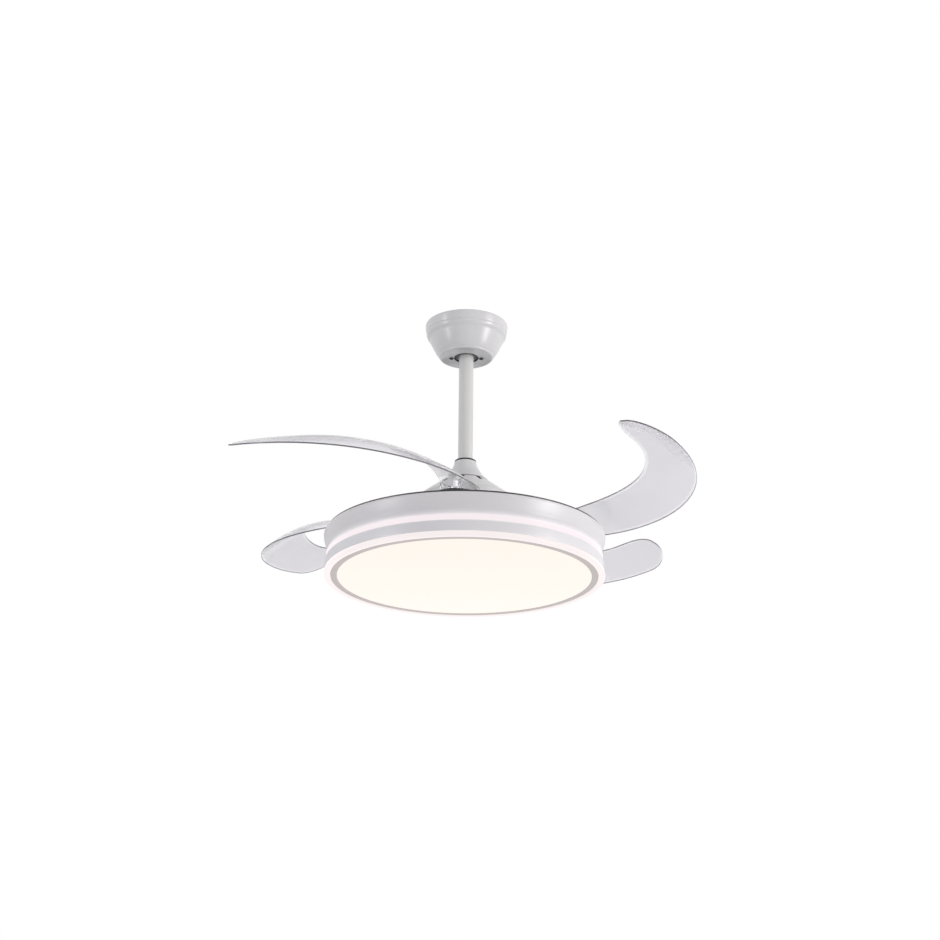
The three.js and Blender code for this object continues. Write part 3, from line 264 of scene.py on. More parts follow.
def smooth(points, steps=4):
    """More points on the smooth curve through these."""
    fine = []
    for i in range(len(points) - 1):
        a, b, c, d = (points[max(0, min(len(points) - 1, k))] for k in (i - 1, i, i + 1, i + 2))
        for j in range(steps):
            t = j / steps
            fine.append(tuple(
                q + 0.5 * t * (r - p + t * (2 * p - 5 * q + 4 * r - s + t * (3 * (q - r) + s - p)))
                for p, q, r, s in zip(a, b, c, d)))
    fine.append(points[-1])
    return fine


def eased(points, radius, steps=4):
    """The closed outline with its corners rounded."""
    out = []
    for i, corner in enumerate(points):
        here = Vector(corner)
        before = Vector(points[i - 1]) - here
        after = Vector(points[(i + 1) % len(points)]) - here
        cut = min(radius, before.length * 0.45, after.length * 0.45)
        a, b = here + before.normalized() * cut, here + after.normalized() * cut
        for j in range(steps + 1):
            t = j / steps
            out.append(tuple(a * (1 - t) ** 2 + here * 2 * t * (1 - t) + b * t ** 2))
    return out


def add_piece(name, mesh, material=None):
    if material:
        mesh.materials.append(material)
    piece = bpy.data.objects.new(name, mesh)
    bpy.context.scene.collection.objects.link(piece)
    return piece


def shade_round(mesh, sharp=35):
    mesh.polygons.foreach_set("use_smooth", [True] * len(mesh.polygons))
    mesh.set_sharp_from_angle(angle=radians(sharp))


def turned(name, outline, material, steps=160, centre=(0, 0)):
    """A piece turned about a vertical axis in so many steps. The outline is closed and gives radius
    and height."""
    work = bmesh.new()
    rings = []
    for radius, z in outline:
        if radius < 1e-6:
            rings.append([work.verts.new((centre[0] * MM, centre[1] * MM, z * MM))] * steps)
        else:
            rings.append([work.verts.new(((centre[0] + radius * cos(2 * pi * k / steps)) * MM,
                                          (centre[1] + radius * sin(2 * pi * k / steps)) * MM, z * MM))
                          for k in range(steps)])
    for i, ring in enumerate(rings):
        after = rings[(i + 1) % len(rings)]
        for k in range(steps):
            n = (k + 1) % steps
            corners = list(dict.fromkeys((ring[k], ring[n], after[n], after[k])))
            if len(corners) > 2:
                work.faces.new(corners)
    bmesh.ops.recalc_face_normals(work, faces=work.faces)
    mesh = mesh_from(work, name)
    shade_round(mesh)
    return add_piece(name, mesh, material)


canopy_paint = finish("canopy_paint", (0.69, 0.685, 0.70), 0.27, tone=0.012, grain=0.9, bump=0.01)
# Black rubber for the rod's seal. The same black colours the ring at the canopy's hole, and is painted shade
# in and behind the motor cover's slots.
black_rubber = finish("black_rubber", (0.02, 0.019, 0.021), 0.6, tone=0.2, grain=0.5)


def make_canopy():
    bottom, top = span("canopy")[1:]
    hole_r = CANOPY_HOLE_R + HOLE_RING_W
    bead_r = CANOPY_FORM[-3][0]
    outer = [(r, top - depth) for r, depth in smooth(CANOPY_FORM)]
    floor = [(hole_r, bottom + CANOPY_BOTTOM_LIFT), (hole_r, bottom + CANOPY_WALL),
             (bead_r - CANOPY_INNER_BEND, bottom + CANOPY_WALL + CANOPY_BOTTOM_LIFT)]
    inner = [(r - CANOPY_WALL, top - depth) for r, depth in smooth(CANOPY_FORM[:-3])]
    canopy = turned("canopy_cup", outer + floor + inner[::-1], canopy_paint)
    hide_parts("canopy")
    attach(canopy, "ceiling")
    # A black ring lines the hole's edge.
    inner_r, outer_r = CANOPY_HOLE_R - HOLE_RING_LIP, hole_r - HOLE_RING_GAP
    foot, head = bottom + HOLE_RING_GAP, bottom + HOLE_RING_H
    edge = eased([(inner_r, foot), (outer_r, foot), (outer_r, head), (inner_r, head)], HOLE_RING_LIP)
    hole_ring = turned("canopy_grommet", edge, black_rubber, 96)
    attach(hole_ring, "ceiling")


make_canopy()

# ---- Canopy screws --------------------------------------------------------
# Two black pan-head screws with a cross recess, up through the canopy's bottom into the bracket.
SCREW_X = 28
SCREW_HEAD_R = 4
SCREW_HEAD_H = 2
SCREW_FACE_R = 2.4
SCREW_CHAMFER_H = 0.9
SCREW_SHANK_R = 2
SCREW_EDGE_R = 0.25
RECESS_L = 3.6
RECESS_W = 0.9
RECESS_DEPTH = 1.0


def block(name, size, centre):
    """A plain cuboid, for a cutter or a rib."""
    work = bmesh.new()
    bmesh.ops.create_cube(work, size=1)
    for vert in work.verts:
        vert.co = Vector([(vert.co[i] * size[i] + centre[i]) * MM for i in range(3)])
    return add_piece(name, mesh_from(work, name))


def settled(piece):
    """The piece with its modifiers worked into a plain mesh."""
    bpy.context.view_layer.update()
    plain = bpy.data.meshes.new_from_object(piece.evaluated_get(bpy.context.evaluated_depsgraph_get()))
    plain.name = piece.name
    piece.modifiers.clear()
    piece.data = plain
    return piece


def combined(piece, others, operation, own_finishes=False):
    """Adds the others to the piece, or cuts them away from it."""
    for other in others:
        boolean = piece.modifiers.new(operation, "BOOLEAN")
        boolean.operation = operation
        boolean.solver = "EXACT"
        boolean.object = other
        if own_finishes:
            boolean.material_mode = "TRANSFER"
    settled(piece)
    for other in others:
        bpy.data.objects.remove(other)
    shade_round(piece.data)


def make_canopy_screw(node, x):
    foot, top = span(node)[1:]
    head = foot + SCREW_HEAD_H
    outline = eased([(0, foot), (SCREW_FACE_R, foot), (SCREW_HEAD_R, foot + SCREW_CHAMFER_H),
                     (SCREW_HEAD_R, head), (SCREW_SHANK_R, head), (SCREW_SHANK_R, top), (0, top)],
                    SCREW_EDGE_R)
    outline[0] = (0, foot)
    screw = turned(node + "_cross", [(max(r, 0), z) for r, z in outline], black_steel, 32, (x, 0))
    cross = [block("recess", (RECESS_L, RECESS_W, 2 * RECESS_DEPTH), (x, 0, foot)),
             block("recess", (RECESS_W, RECESS_L, 2 * RECESS_DEPTH), (x, 0, foot))]
    combined(screw, cross, "DIFFERENCE")
    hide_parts(node)
    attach(screw, "ceiling")


black_steel = finish("black_steel", (0.035, 0.033, 0.036), 0.4, metal=0.4, tone=0.2, grain=0.8)
make_canopy_screw("canopy_screw_left", -SCREW_X)
make_canopy_screw("canopy_screw_right", SCREW_X)

# ---- Hanger ball ----------------------------------------------------------
# A grey moulded ball that rests in the bracket's seat. Its underside has radial ribs, which
# show in the canopy's hole. A steel pin goes through the ball and the rod.
BALL_R = 24
BALL_STEPS = 24
BALL_MOUTH_R = 16.8
BALL_WAIST_H = 1  # half the height of the bore's narrowest stretch
BALL_RIBS = 28
BALL_RIB = (2.2, 0.9, 0.8)  # length, width, height
BALL_RIB_R = 17.7
BALL_RIB_DROP = 0.15
ROD_HOLE_R = 13.8


def around_axis_tree():
    """Copies of one piece in a ring about the vertical axis."""
    tree = bpy.data.node_groups.new("around_axis", "GeometryNodeTree")
    face = tree.interface
    face.new_socket("Piece", in_out="INPUT", socket_type="NodeSocketObject")
    face.new_socket("Count", in_out="INPUT", socket_type="NodeSocketInt")
    face.new_socket("First angle", in_out="INPUT", socket_type="NodeSocketFloat")
    face.new_socket("Finish", in_out="INPUT", socket_type="NodeSocketMaterial")
    face.new_socket("Geometry", in_out="OUTPUT", socket_type="NodeSocketGeometry")
    nodes, links = tree.nodes, tree.links
    given = nodes.new("NodeGroupInput")
    piece = nodes.new("GeometryNodeObjectInfo")
    links.new(given.outputs["Piece"], piece.inputs["Object"])
    places = nodes.new("GeometryNodeMeshLine")
    places.inputs["Offset"].default_value = (0, 0, 0)
    links.new(given.outputs["Count"], places.inputs["Count"])
    index = nodes.new("GeometryNodeInputIndex").outputs[0]
    share = worked_out(tree, "DIVIDE", index, given.outputs["Count"])
    turn = worked_out(tree, "MULTIPLY_ADD", share, 2 * pi, given.outputs["First angle"])
    about_z = nodes.new("ShaderNodeCombineXYZ")
    links.new(turn, about_z.inputs["Z"])
    copies = nodes.new("GeometryNodeInstanceOnPoints")
    links.new(places.outputs["Mesh"], copies.inputs["Points"])
    links.new(piece.outputs["Geometry"], copies.inputs["Instance"])
    links.new(about_z.outputs[0], copies.inputs["Rotation"])
    real = nodes.new("GeometryNodeRealizeInstances")
    links.new(copies.outputs["Instances"], real.inputs["Geometry"])
    coat = nodes.new("GeometryNodeSetMaterial")
    links.new(real.outputs["Geometry"], coat.inputs["Geometry"])
    links.new(given.outputs["Finish"], coat.inputs["Material"])
    links.new(coat.outputs["Geometry"], nodes.new("NodeGroupOutput").inputs["Geometry"])
    return tree


def grown(name, tree, **inputs):
    """The plain mesh that a tree makes from these inputs."""
    host = add_piece(name, bpy.data.meshes.new(name))
    growth = host.modifiers.new(name, "NODES")
    growth.node_group = tree
    for label, value in inputs.items():
        socket = tree.interface.items_tree[label.replace("_", " ").capitalize()]
        growth[socket.identifier] = value
    return settled(host)


around_axis = around_axis_tree()


def ringed(name, piece, count, first, material):
    """Copies of the piece round the axis, as one mesh. The first piece itself goes."""
    ring = grown(name, around_axis, piece=piece, count=count, first_angle=radians(first), finish=material)
    bpy.data.objects.remove(piece)
    return ring


def merged(piece, others):
    """Joins meshes into one piece without changing them."""
    work = bmesh.new()
    work.from_mesh(piece.data)
    for other in others:
        work.from_mesh(other.data)
    work.to_mesh(piece.data)
    work.free()
    for other in others:
        bpy.data.objects.remove(other)


def make_hanger_ball():
    bottom, top = span("hanger_ball")[1:]
    centre = (bottom + top) / 2
    limit = asin((top - bottom) / 2 / BALL_R)
    angles = [limit * (2 * i / BALL_STEPS - 1) for i in range(BALL_STEPS + 1)]
    arc = [(BALL_R * cos(angle), centre + BALL_R * sin(angle)) for angle in angles]
    bore = [(BALL_MOUTH_R, top), (ROD_HOLE_R, centre + BALL_WAIST_H), (ROD_HOLE_R, centre - BALL_WAIST_H),
            (BALL_MOUTH_R, bottom)]
    ball = turned("hanger_ball_moulding", arc + bore, grey_plastic, 96)
    rib = block("rib", BALL_RIB, (BALL_RIB_R, 0, bottom - BALL_RIB_DROP))
    ribs = ringed("ball_ribs", rib, BALL_RIBS, 0, grey_plastic)
    merged(ball, [ribs])
    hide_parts("hanger_ball")
    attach(ball, "ball")


grey_plastic = finish("grey_plastic", (0.62, 0.62, 0.63), 0.5, tone=0.06, grain=0.5)
make_hanger_ball()
dress("hanger_pin", zinc)

# ---- Downrod and its seal ring --------------------------------------------
# A painted steel pipe, open at both ends, pinned to the ball above and to the coupling below.
# A black rubber ring seals the bell round it.
ROD_WALL = 1.8
ROD_EDGE_R = 0.4
SEAL_TAPER = 0.6
SEAL_EDGE_R = 1.1


def make_rod():
    radius, bottom, top = span("downrod")
    bore_r = radius - ROD_WALL
    outline = eased([(bore_r, bottom), (radius, bottom), (radius, top), (bore_r, top)], ROD_EDGE_R)
    rod = turned("downrod_pipe", outline, rod_paint, 96)
    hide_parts("downrod")
    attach(rod, "hanging")


def make_seal():
    radius, bottom, top = span("rod_seal_ring")
    outline = eased([(ROD_HOLE_R, bottom), (radius, bottom), (radius - SEAL_TAPER, top),
                     (ROD_HOLE_R, top)], SEAL_EDGE_R, 6)
    seal = turned("rod_seal", outline, black_rubber, 96)
    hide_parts("rod_seal_ring")
    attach(seal, "hanging")


rod_paint = finish("rod_paint", (0.70, 0.70, 0.69), 0.42, tone=0.01, grain=1.2, bump=0.015)
make_rod()
make_seal()

# ---- Coupling, bell and motor cover -----------------------------------------
# The steel coupling joins the rod to the motor's shaft with a cross pin. A small white bell and a
# wide spun cone hide it. Slots under the cone's seam have walls painted black, and a black strip
# of painted shade lies inside behind them, so that they look black.
BELL_FORM = (
    # radius, height above its lower edge
    (43.4, 0.9), (42.6, 1.6), (39.7, 4.4), (36, 8.3), (32.3, 12.9), (29.2, 17.5), (26.4, 22.5), (24.2, 26.6),
    (22.5, 30.5), (21.3, 34), (20.6, 36.8), (20.2, 38.5), (19.6, 39.1),
)
COVER_FORM = (
    # radius, height above its lower edge
    (88, 0), (88, 13), (87.6, 14.6), (86.2, 16.4), (80, 21.1), (72, 27.2), (64, 33.2), (56, 39.2),
    (49, 44.6), (45, 47.6), (44.2, 48.1), (43.2, 48.3),
)
COVER_WALL = 1.5
COVER_WALL_DROP = COVER_WALL * 0.6  # how far the sloping wall's inside lies under its outside
COVER_HOLE_R = 17.8
COVER_SLOTS = 10
COVER_SLOT = (12, 7.5, 16)  # its cutter's length, width and height
COVER_SLOT_AZIMUTH = -60
COVER_SLOT_R = 50.6
COVER_SLOT_DEPTH = 6
COVER_SLOT_SLANT = 8
# A black strip of painted shade inside the cover, behind the slots.
COVER_SHADE_STRIP = (  # radius and height above the cover's lower edge
    (60, 34.1), (54.45, 38.25), (47.45, 43.65), (43.7, 46.5),
)
COVER_SHADE_STRIP_T = 1
BELL_CROWN_H = 30  # above it the bell is its crown, which has a thickness of its own
BELL_CROWN_T = 0.9
satin_paint = finish("satin_white_paint", (0.70, 0.695, 0.705), 0.3, tone=0.012, grain=0.9, bump=0.012)


def make_bell():
    bottom, top = span("coupling_bell")[1:]
    outer = [(r, bottom + h) for r, h in smooth(BELL_FORM)]
    inner = [(max(r - COVER_WALL, ROD_HOLE_R), bottom + h - (BELL_CROWN_T if h > BELL_CROWN_H else 0))
             for r, h in smooth(BELL_FORM[:-1])]
    hole = [(ROD_HOLE_R, top), (ROD_HOLE_R, top - COVER_WALL)]
    bell = turned("coupling_bell_shell", outer + hole + inner[::-1], satin_paint, 128)
    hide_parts("coupling_bell")
    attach(bell, "hanging")


def make_cover():
    radius, bottom, top = span("motor_cover")
    outer = [(r, bottom + h) for r, h in smooth(COVER_FORM)]
    inner = [(r - COVER_WALL, bottom + h - COVER_WALL_DROP) for r, h in smooth(COVER_FORM[1:])]
    hole = [(COVER_HOLE_R, top), (COVER_HOLE_R, top - COVER_WALL)]
    foot = [(radius - COVER_WALL, bottom)]
    cover = turned("motor_cover_cone", outer + hole + inner[::-1] + foot, satin_paint)
    slot = block("slot", COVER_SLOT, (0, 0, 0))
    slot.data.transform(Matrix.Translation((COVER_SLOT_R * MM, 0, (top - COVER_SLOT_DEPTH) * MM))
                        @ Matrix.Rotation(radians(COVER_SLOT_SLANT), 4, "Z"))
    # Painted shade: the slots' cut walls take the black finish of their cutters.
    slots = ringed("slots", slot, COVER_SLOTS, COVER_SLOT_AZIMUTH, black_rubber)
    combined(cover, [slots], "DIFFERENCE", own_finishes=True)
    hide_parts("motor_cover")
    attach(cover, "hanging")
    strip = [(r, bottom + h) for r, h in COVER_SHADE_STRIP]
    back = [(r, z - COVER_SHADE_STRIP_T) for r, z in strip[::-1]]
    shade_strip = turned("motor_cover_backing", strip + back, black_rubber, 96)
    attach(shade_strip, "hanging")


make_bell()
make_cover()
dress("coupling", zinc)
dress("clevis_pin", zinc)

# ---- Motor -------------------------------------------------------------------
# The shaft is a hollow steel tube that stands still. It carries a stator of stamped laminations
# with twelve copper coils. The rotor, a black cup with a magnet ring, turns round it on two bearings.
lamination = finish("stator_laminations", (0.40, 0.40, 0.42), 0.45, metal=0.8, tone=0.2, grain=0.8,
                    stretch=(0.2, 0.2, 5))
winding = finish("copper_windings", (0.62, 0.24, 0.10), 0.35, metal=0.85, tone=0.2, grain=0.7, bump=0.2,
                 stretch=(0.3, 0.3, 3))
magnet = finish("magnet_ferrite", (0.09, 0.09, 0.10), 0.5, metal=0.3, tone=0.15, grain=0.5)
bearing_steel = finish("bearing_steel", (0.62, 0.62, 0.64), 0.22, metal=1.0, tone=0.05, grain=0.5)
black_paint = finish("black_satin_paint", (0.028, 0.026, 0.029), 0.36, tone=0.15, grain=0.8, bump=0.02)
dress("motor_shaft", zinc)
dress("stator_hub", nylon)
dress("stator_core", lamination)
dress("stator_windings", winding)
dress("magnet_ring", magnet)
dress("lower_bearing", bearing_steel)
dress("upper_bearing", bearing_steel)
dress("rotor_bell", black_paint)

# ---- Blade carrier ---------------------------------------------------------
# A black steel plate with four arms, pressed onto the rotor's lower bearing. A round pad at the end
# of each arm carries a blade's root, with a groove for its lip. A ring under it guides the sun gear.
CARRIER_CENTRE_R = 92
CARRIER_ARM_W = 44
CARRIER_PAD_R = 37.6
CARRIER_SLEEVE_R = 13.3
CARRIER_BEARING_R = 20.3
CARRIER_SEAT_R = 26
CARRIER_PLATE_T = 6
CARRIER_GEAR_RING = (74.4, 79.4)  # radii
CARRIER_EDGE_R = 0.7
CARRIER_GROOVE = (31, 38.6, 2.5)  # radii, depth
SLEEVE_PROUD = 0.1  # how far the sleeves stand above the plate
CUT_PAST = 9  # how far a cutter stands out of what it cuts
OVERLAP = 1  # of a ring that joins a plate, or of a shallow cutter over a face
BLADE_NUMBERS = (1, 2, 3, 4)
PIVOT_CIRCLE_R = 162
FIRST_PIVOT_AZIMUTH = -5.5


def pivot_place(number):
    angle = radians(FIRST_PIVOT_AZIMUTH + 90 * (number - 1))
    return PIVOT_CIRCLE_R * cos(angle), PIVOT_CIRCLE_R * sin(angle)


def cylinder(name, radius, low, high, material, steps, centre=(0, 0)):
    return turned(name, [(0, low), (radius, low), (radius, high), (0, high)], material, steps, centre)


def rounded(piece, width):
    """The piece with its edges of over 45 degrees rounded."""
    edge = piece.modifiers.new("edge", "BEVEL")
    edge.width = width * MM
    edge.segments = 2
    edge.limit_method = "ANGLE"
    edge.angle_limit = radians(45)
    settled(piece)
    shade_round(piece.data)
    return piece


def make_carrier():
    low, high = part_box("blade_carrier")
    top = high.z / MM - SLEEVE_PROUD
    foot = top - CARRIER_PLATE_T
    under, over = foot - CUT_PAST, top + CUT_PAST
    plate = cylinder("blade_carrier_plate", CARRIER_CENTRE_R, foot, top, black_paint, 128)
    arm_size = (PIVOT_CIRCLE_R, CARRIER_ARM_W, CARRIER_PLATE_T)
    inner, outer, depth = CARRIER_GROOVE
    groove = [(inner, top - depth), (outer, top - depth), (outer, top + OVERLAP), (inner, top + OVERLAP)]
    added, holes = [], []
    for number in BLADE_NUMBERS:
        x, y = pivot_place(number)
        arm = block("arm", arm_size, (PIVOT_CIRCLE_R / 2, 0, (foot + top) / 2))
        arm.data.transform(Matrix.Rotation(atan2(y, x), 4, "Z"))
        added.append(arm)
        added.append(cylinder("pad", CARRIER_PAD_R, foot, top, black_paint, 72, (x, y)))
        holes.append(turned("lip_groove", groove, black_paint, 72, (x, y)))
        holes.append(cylinder("sleeve_hole", CARRIER_SLEEVE_R, under, over, black_paint, 48, (x, y)))
    holes.append(cylinder("bearing_hole", CARRIER_BEARING_R, under, over, black_paint, 64))
    combined(plate, added, "UNION")
    combined(plate, holes, "DIFFERENCE")
    rounded(plate, CARRIER_EDGE_R)
    rims = []
    for name, inner, outer, rim_foot, steps in (
            ("seat_ring", CARRIER_BEARING_R, CARRIER_SEAT_R, foot - CARRIER_PLATE_T, 64),
            ("gear_ring", *CARRIER_GEAR_RING, low.z / MM, 96)):
        rim_top = foot + OVERLAP
        outline = [(inner, rim_foot), (outer, rim_foot), (outer, rim_top), (inner, rim_top)]
        rims.append(turned(name, outline, black_paint, steps))
    merged(plate, rims)
    shade_round(plate.data)
    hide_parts("blade_carrier")
    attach(plate, "rotor")


make_carrier()
dress("gear_retainer", zinc)

# ---- Gears and return springs -------------------------------------------------
# The sun gear ties the four blades together through a toothed sector under each root. They are
# cut from white nylon. A steel torsion spring round each sleeve pulls its blade in.
SPRING_COIL_R = 16.5
SPRING_WIRE_R = 0.75
SPRING_TURNS = 2.5
SPRING_PITCH = 2.2


def coil_tree():
    """A round wire wound into a coil about the vertical axis."""
    tree = bpy.data.node_groups.new("wound_coil", "GeometryNodeTree")
    face = tree.interface
    for label in ("Turns", "Coil radius", "Wire radius", "Height"):
        face.new_socket(label, in_out="INPUT", socket_type="NodeSocketFloat")
    face.new_socket("Finish", in_out="INPUT", socket_type="NodeSocketMaterial")
    face.new_socket("Geometry", in_out="OUTPUT", socket_type="NodeSocketGeometry")
    nodes, links = tree.nodes, tree.links
    given = nodes.new("NodeGroupInput")
    path = nodes.new("GeometryNodeCurveSpiral")
    path.inputs["Resolution"].default_value = 40
    links.new(given.outputs["Turns"], path.inputs["Rotations"])
    links.new(given.outputs["Coil radius"], path.inputs["Start Radius"])
    links.new(given.outputs["Coil radius"], path.inputs["End Radius"])
    links.new(given.outputs["Height"], path.inputs["Height"])
    wire = nodes.new("GeometryNodeCurvePrimitiveCircle")
    wire.inputs["Resolution"].default_value = 12
    links.new(given.outputs["Wire radius"], wire.inputs["Radius"])
    tube = nodes.new("GeometryNodeCurveToMesh")
    tube.inputs["Fill Caps"].default_value = True
    links.new(path.outputs["Curve"], tube.inputs["Curve"])
    links.new(wire.outputs["Curve"], tube.inputs["Profile Curve"])
    real = nodes.new("GeometryNodeRealizeInstances")
    links.new(tube.outputs["Mesh"], real.inputs["Geometry"])
    coat = nodes.new("GeometryNodeSetMaterial")
    links.new(real.outputs["Geometry"], coat.inputs["Geometry"])
    links.new(given.outputs["Finish"], coat.inputs["Material"])
    links.new(coat.outputs["Geometry"], nodes.new("NodeGroupOutput").inputs["Geometry"])
    return tree


wound_coil = coil_tree()


def make_return_spring(number):
    node = f"return_spring_{number}"
    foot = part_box(node)[0].z / MM + SPRING_WIRE_R
    coil = grown(f"return_coil_{number}", wound_coil, turns=SPRING_TURNS, coil_radius=SPRING_COIL_R * MM,
                 wire_radius=SPRING_WIRE_R * MM, height=SPRING_TURNS * SPRING_PITCH * MM, finish=spring_steel)
    x, y = pivot_place(number)
    coil.data.transform(Matrix.Translation((x * MM, y * MM, foot * MM)))
    shade_round(coil.data, 60)
    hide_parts(node)
    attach(coil, f"arm_{number}")


spring_steel = finish("spring_steel", (0.42, 0.42, 0.43), 0.3, metal=0.95, tone=0.08, grain=0.6)
dress("sun_gear", nylon)
for number in BLADE_NUMBERS:
    dress(f"blade_gear_{number}", nylon)
    make_return_spring(number)

# ---- Blades -------------------------------------------------------------------
# Each blade is one moulding of clear, faintly smoked plastic. Its root is a round disc on the
# carrier's pad, with a lip, a boss, six ribs and four posts that rise to the curved sheet above. The
# sheet sweeps round an arc and rises to its tip. It lets light through. Its cut edge is tinted dark,
# painted shade for how such an edge looks dark, and a painted highlight lightens the sheet along
# its edges and at its root.
BLADE_STATIONS = (
    # share of the sweep; share of the blade's width; and, as shares of its rise, the heights of its
    # outer and inner edge and of the crown between them
    (0.0, 0.71, -0.13, -0.04, 0.23), (0.2, 0.64, -0.242, 0.37, 0.14), (0.4, 0.64, -0.2, 0.613, 0.1),
    (0.6, 0.72, -0.04, 0.724, 0.165), (0.8, 0.8, 0.186, 0.823, 0.15), (1.0, 1.03, 0.481, 1.0, 0.2),
)
BLADE_W = 114.9
BLADE_RISE = 57
BLADE_EDGE_R = 253.4
BLADE_ARC_CENTRE = (136.15, -212.23)
BLADE_ROOT_ANGLE = 91.5
BLADE_SWEEP = 144
BLADE_T = 2.6
BLADE_ROOT_CAP = 0.2  # shares of the sweep that the rounded ends take
BLADE_TIP_CAP_OUTER = 0.1
BLADE_TIP_CAP_INNER = 0.36
BLADE_TIP_PLACE = 0.5  # where the tip lies across the blade
BLADE_START, BLADE_SHARE = 0.002, 0.996  # of the sweep: a rounded end stops short of its point
BLADE_STEPS = (112, 22)
PAINTED_HIGHLIGHT_W = 5.0  # width of the painted highlight band along an edge
PAINTED_ROOT_HIGHLIGHT = 0.27  # share of the sweep by which the root's painted highlight has faded
BRIGHT_ROOT = 0.15  # share of the sweep that is of the root's own plastic
SHEET, CUT_EDGE, INNER_EDGE, ROOT = range(4)  # the sheet's materials; the two edges' are tinted dark as painted shade
DISC_R = 38
DISC_HEIGHTS = (104, 107)  # heights from here on are above the lamp's lower edge
DISC_LIP = (31.6, 101.4)  # its inner radius and its foot
DISC_SHOULDER = (1, 0.5)  # past the lip's inner radius and the disc's foot
ROOT_FOOT = 103.8
BOSS_R = 13
ROOT_RIBS = 6
ROOT_RIB_L = 29
ROOT_RIB_T = 2.2
ROOT_RIB_AZIMUTH = 15
ROOT_POSTS = 4
ROOT_POST_R = 4
ROOT_POST_CIRCLE_R = 33
ROOT_BLANK_H = 30  # the root's columns are made this tall and then trimmed by the sheet's underside
ROOT_BLANK_DEPTH = 20
BOLT_HOLE_R = 6.3
BOLT_RECESS_R = 10.3
BOLT_RECESS_DEPTH = 4.3


def station(key, turn):
    """A value of the stations, on the smooth curve through them."""
    last = len(BLADE_STATIONS) - 1
    place = turn * last
    i = min(int(place), last - 1)
    t = place - i
    p, q, r, s = (BLADE_STATIONS[max(0, min(last, k))][key] for k in (i - 1, i, i + 1, i + 2))
    return q + 0.5 * t * (r - p + t * (2 * p - 5 * q + 4 * r - s + t * (3 * (q - r) + s - p)))


def round_end(distance, length):
    """How wide a rounded end is at this distance from its point, as a share of the full width."""
    return sqrt(1 - (1 - max(0, min(1, distance / length))) ** 2)


def blade_point(turn, across):
    """A point of the first blade's middle surface, in millimetres above the lamp's lower edge."""
    width = BLADE_W * station(1, turn)
    inner = BLADE_EDGE_R - width
    pivot = pivot_place(1)
    root_r = hypot(pivot[0] - BLADE_ARC_CENTRE[0], pivot[1] - BLADE_ARC_CENTRE[1])
    spine_r = root_r if turn < 0.5 else inner + width * BLADE_TIP_PLACE
    root_round = round_end(turn, BLADE_ROOT_CAP)
    outer_r = spine_r + (BLADE_EDGE_R - spine_r) * root_round * round_end(1 - turn, BLADE_TIP_CAP_OUTER)
    inner_r = spine_r - (spine_r - inner) * root_round * round_end(1 - turn, BLADE_TIP_CAP_INNER)
    radius = outer_r + (inner_r - outer_r) * across
    chord = (BLADE_EDGE_R - radius) / width
    low, high, crown = (station(key, turn) for key in (2, 3, 4))
    rise = low + (high - low) * chord + 4 * crown * chord * (1 - chord)
    angle = radians(BLADE_ROOT_ANGLE - BLADE_SWEEP * turn)
    return Vector((BLADE_ARC_CENTRE[0] + radius * cos(angle), BLADE_ARC_CENTRE[1] + radius * sin(angle),
                   DISC_HEIGHTS[0] + BLADE_RISE * rise))


def blade_sheet(name, upper, lower):
    """A closed sheet along the blade. upper and lower give its faces' heights from the middle one's."""
    along, over = BLADE_STEPS
    work = bmesh.new()
    highlight_bands = work.loops.layers.uv.new("band")
    near, turns = {}, []
    faces = ([], [])
    for i in range(along + 1):
        share = i / along
        turn = BLADE_START + BLADE_SHARE * (0.5 * share + 0.25 * (1 - cos(pi * share)))
        turns.append(turn)
        line = [blade_point(turn, j / over) for j in range(over + 1)]
        for side, height in enumerate((upper, lower)):
            row = []
            for point in line:
                vert = work.verts.new((point.x * MM, point.y * MM, (height(point.z) - LAMP_DROP) * MM))
                # Painted highlight: how strongly the sheet is lightened, near its outer edge or root, and
                # near its inner edge.
                near[vert] = (max(0, 1 - (point - line[0]).length / PAINTED_HIGHLIGHT_W, 1 - turn / PAINTED_ROOT_HIGHLIGHT),
                              max(0, 1 - (point - line[-1]).length / PAINTED_HIGHLIGHT_W))
                row.append(vert)
            faces[side].append(row)
    for i in range(along):
        for j in range(over):
            for side in (0, 1):
                a = faces[side]
                face = work.faces.new((a[i][j], a[i + 1][j], a[i + 1][j + 1], a[i][j + 1]))
                face.material_index = ROOT if turns[i] < BRIGHT_ROOT else SHEET
    top, bottom = faces
    rim = [(i, 0) for i in range(along + 1)] + [(along, j) for j in range(1, over + 1)]
    rim += [(i, over) for i in range(along - 1, -1, -1)] + [(0, j) for j in range(over - 1, 0, -1)]
    for k, (i, j) in enumerate(rim):
        m, n = rim[(k + 1) % len(rim)]
        face = work.faces.new((top[i][j], top[m][n], bottom[m][n], bottom[i][j]))
        edge = INNER_EDGE if j == n == over else CUT_EDGE
        face.material_index = ROOT if turns[i] < BRIGHT_ROOT else edge
    bmesh.ops.recalc_face_normals(work, faces=work.faces)
    for face in work.faces:
        for loop in face.loops:
            loop[highlight_bands].uv = near[loop.vert]
    mesh = mesh_from(work, name)
    for plastic in (clear_plastic, cut_edge_painted_dark, inner_edge_painted_dark, root_plastic):
        mesh.materials.append(plastic)
    return add_piece(name, mesh)


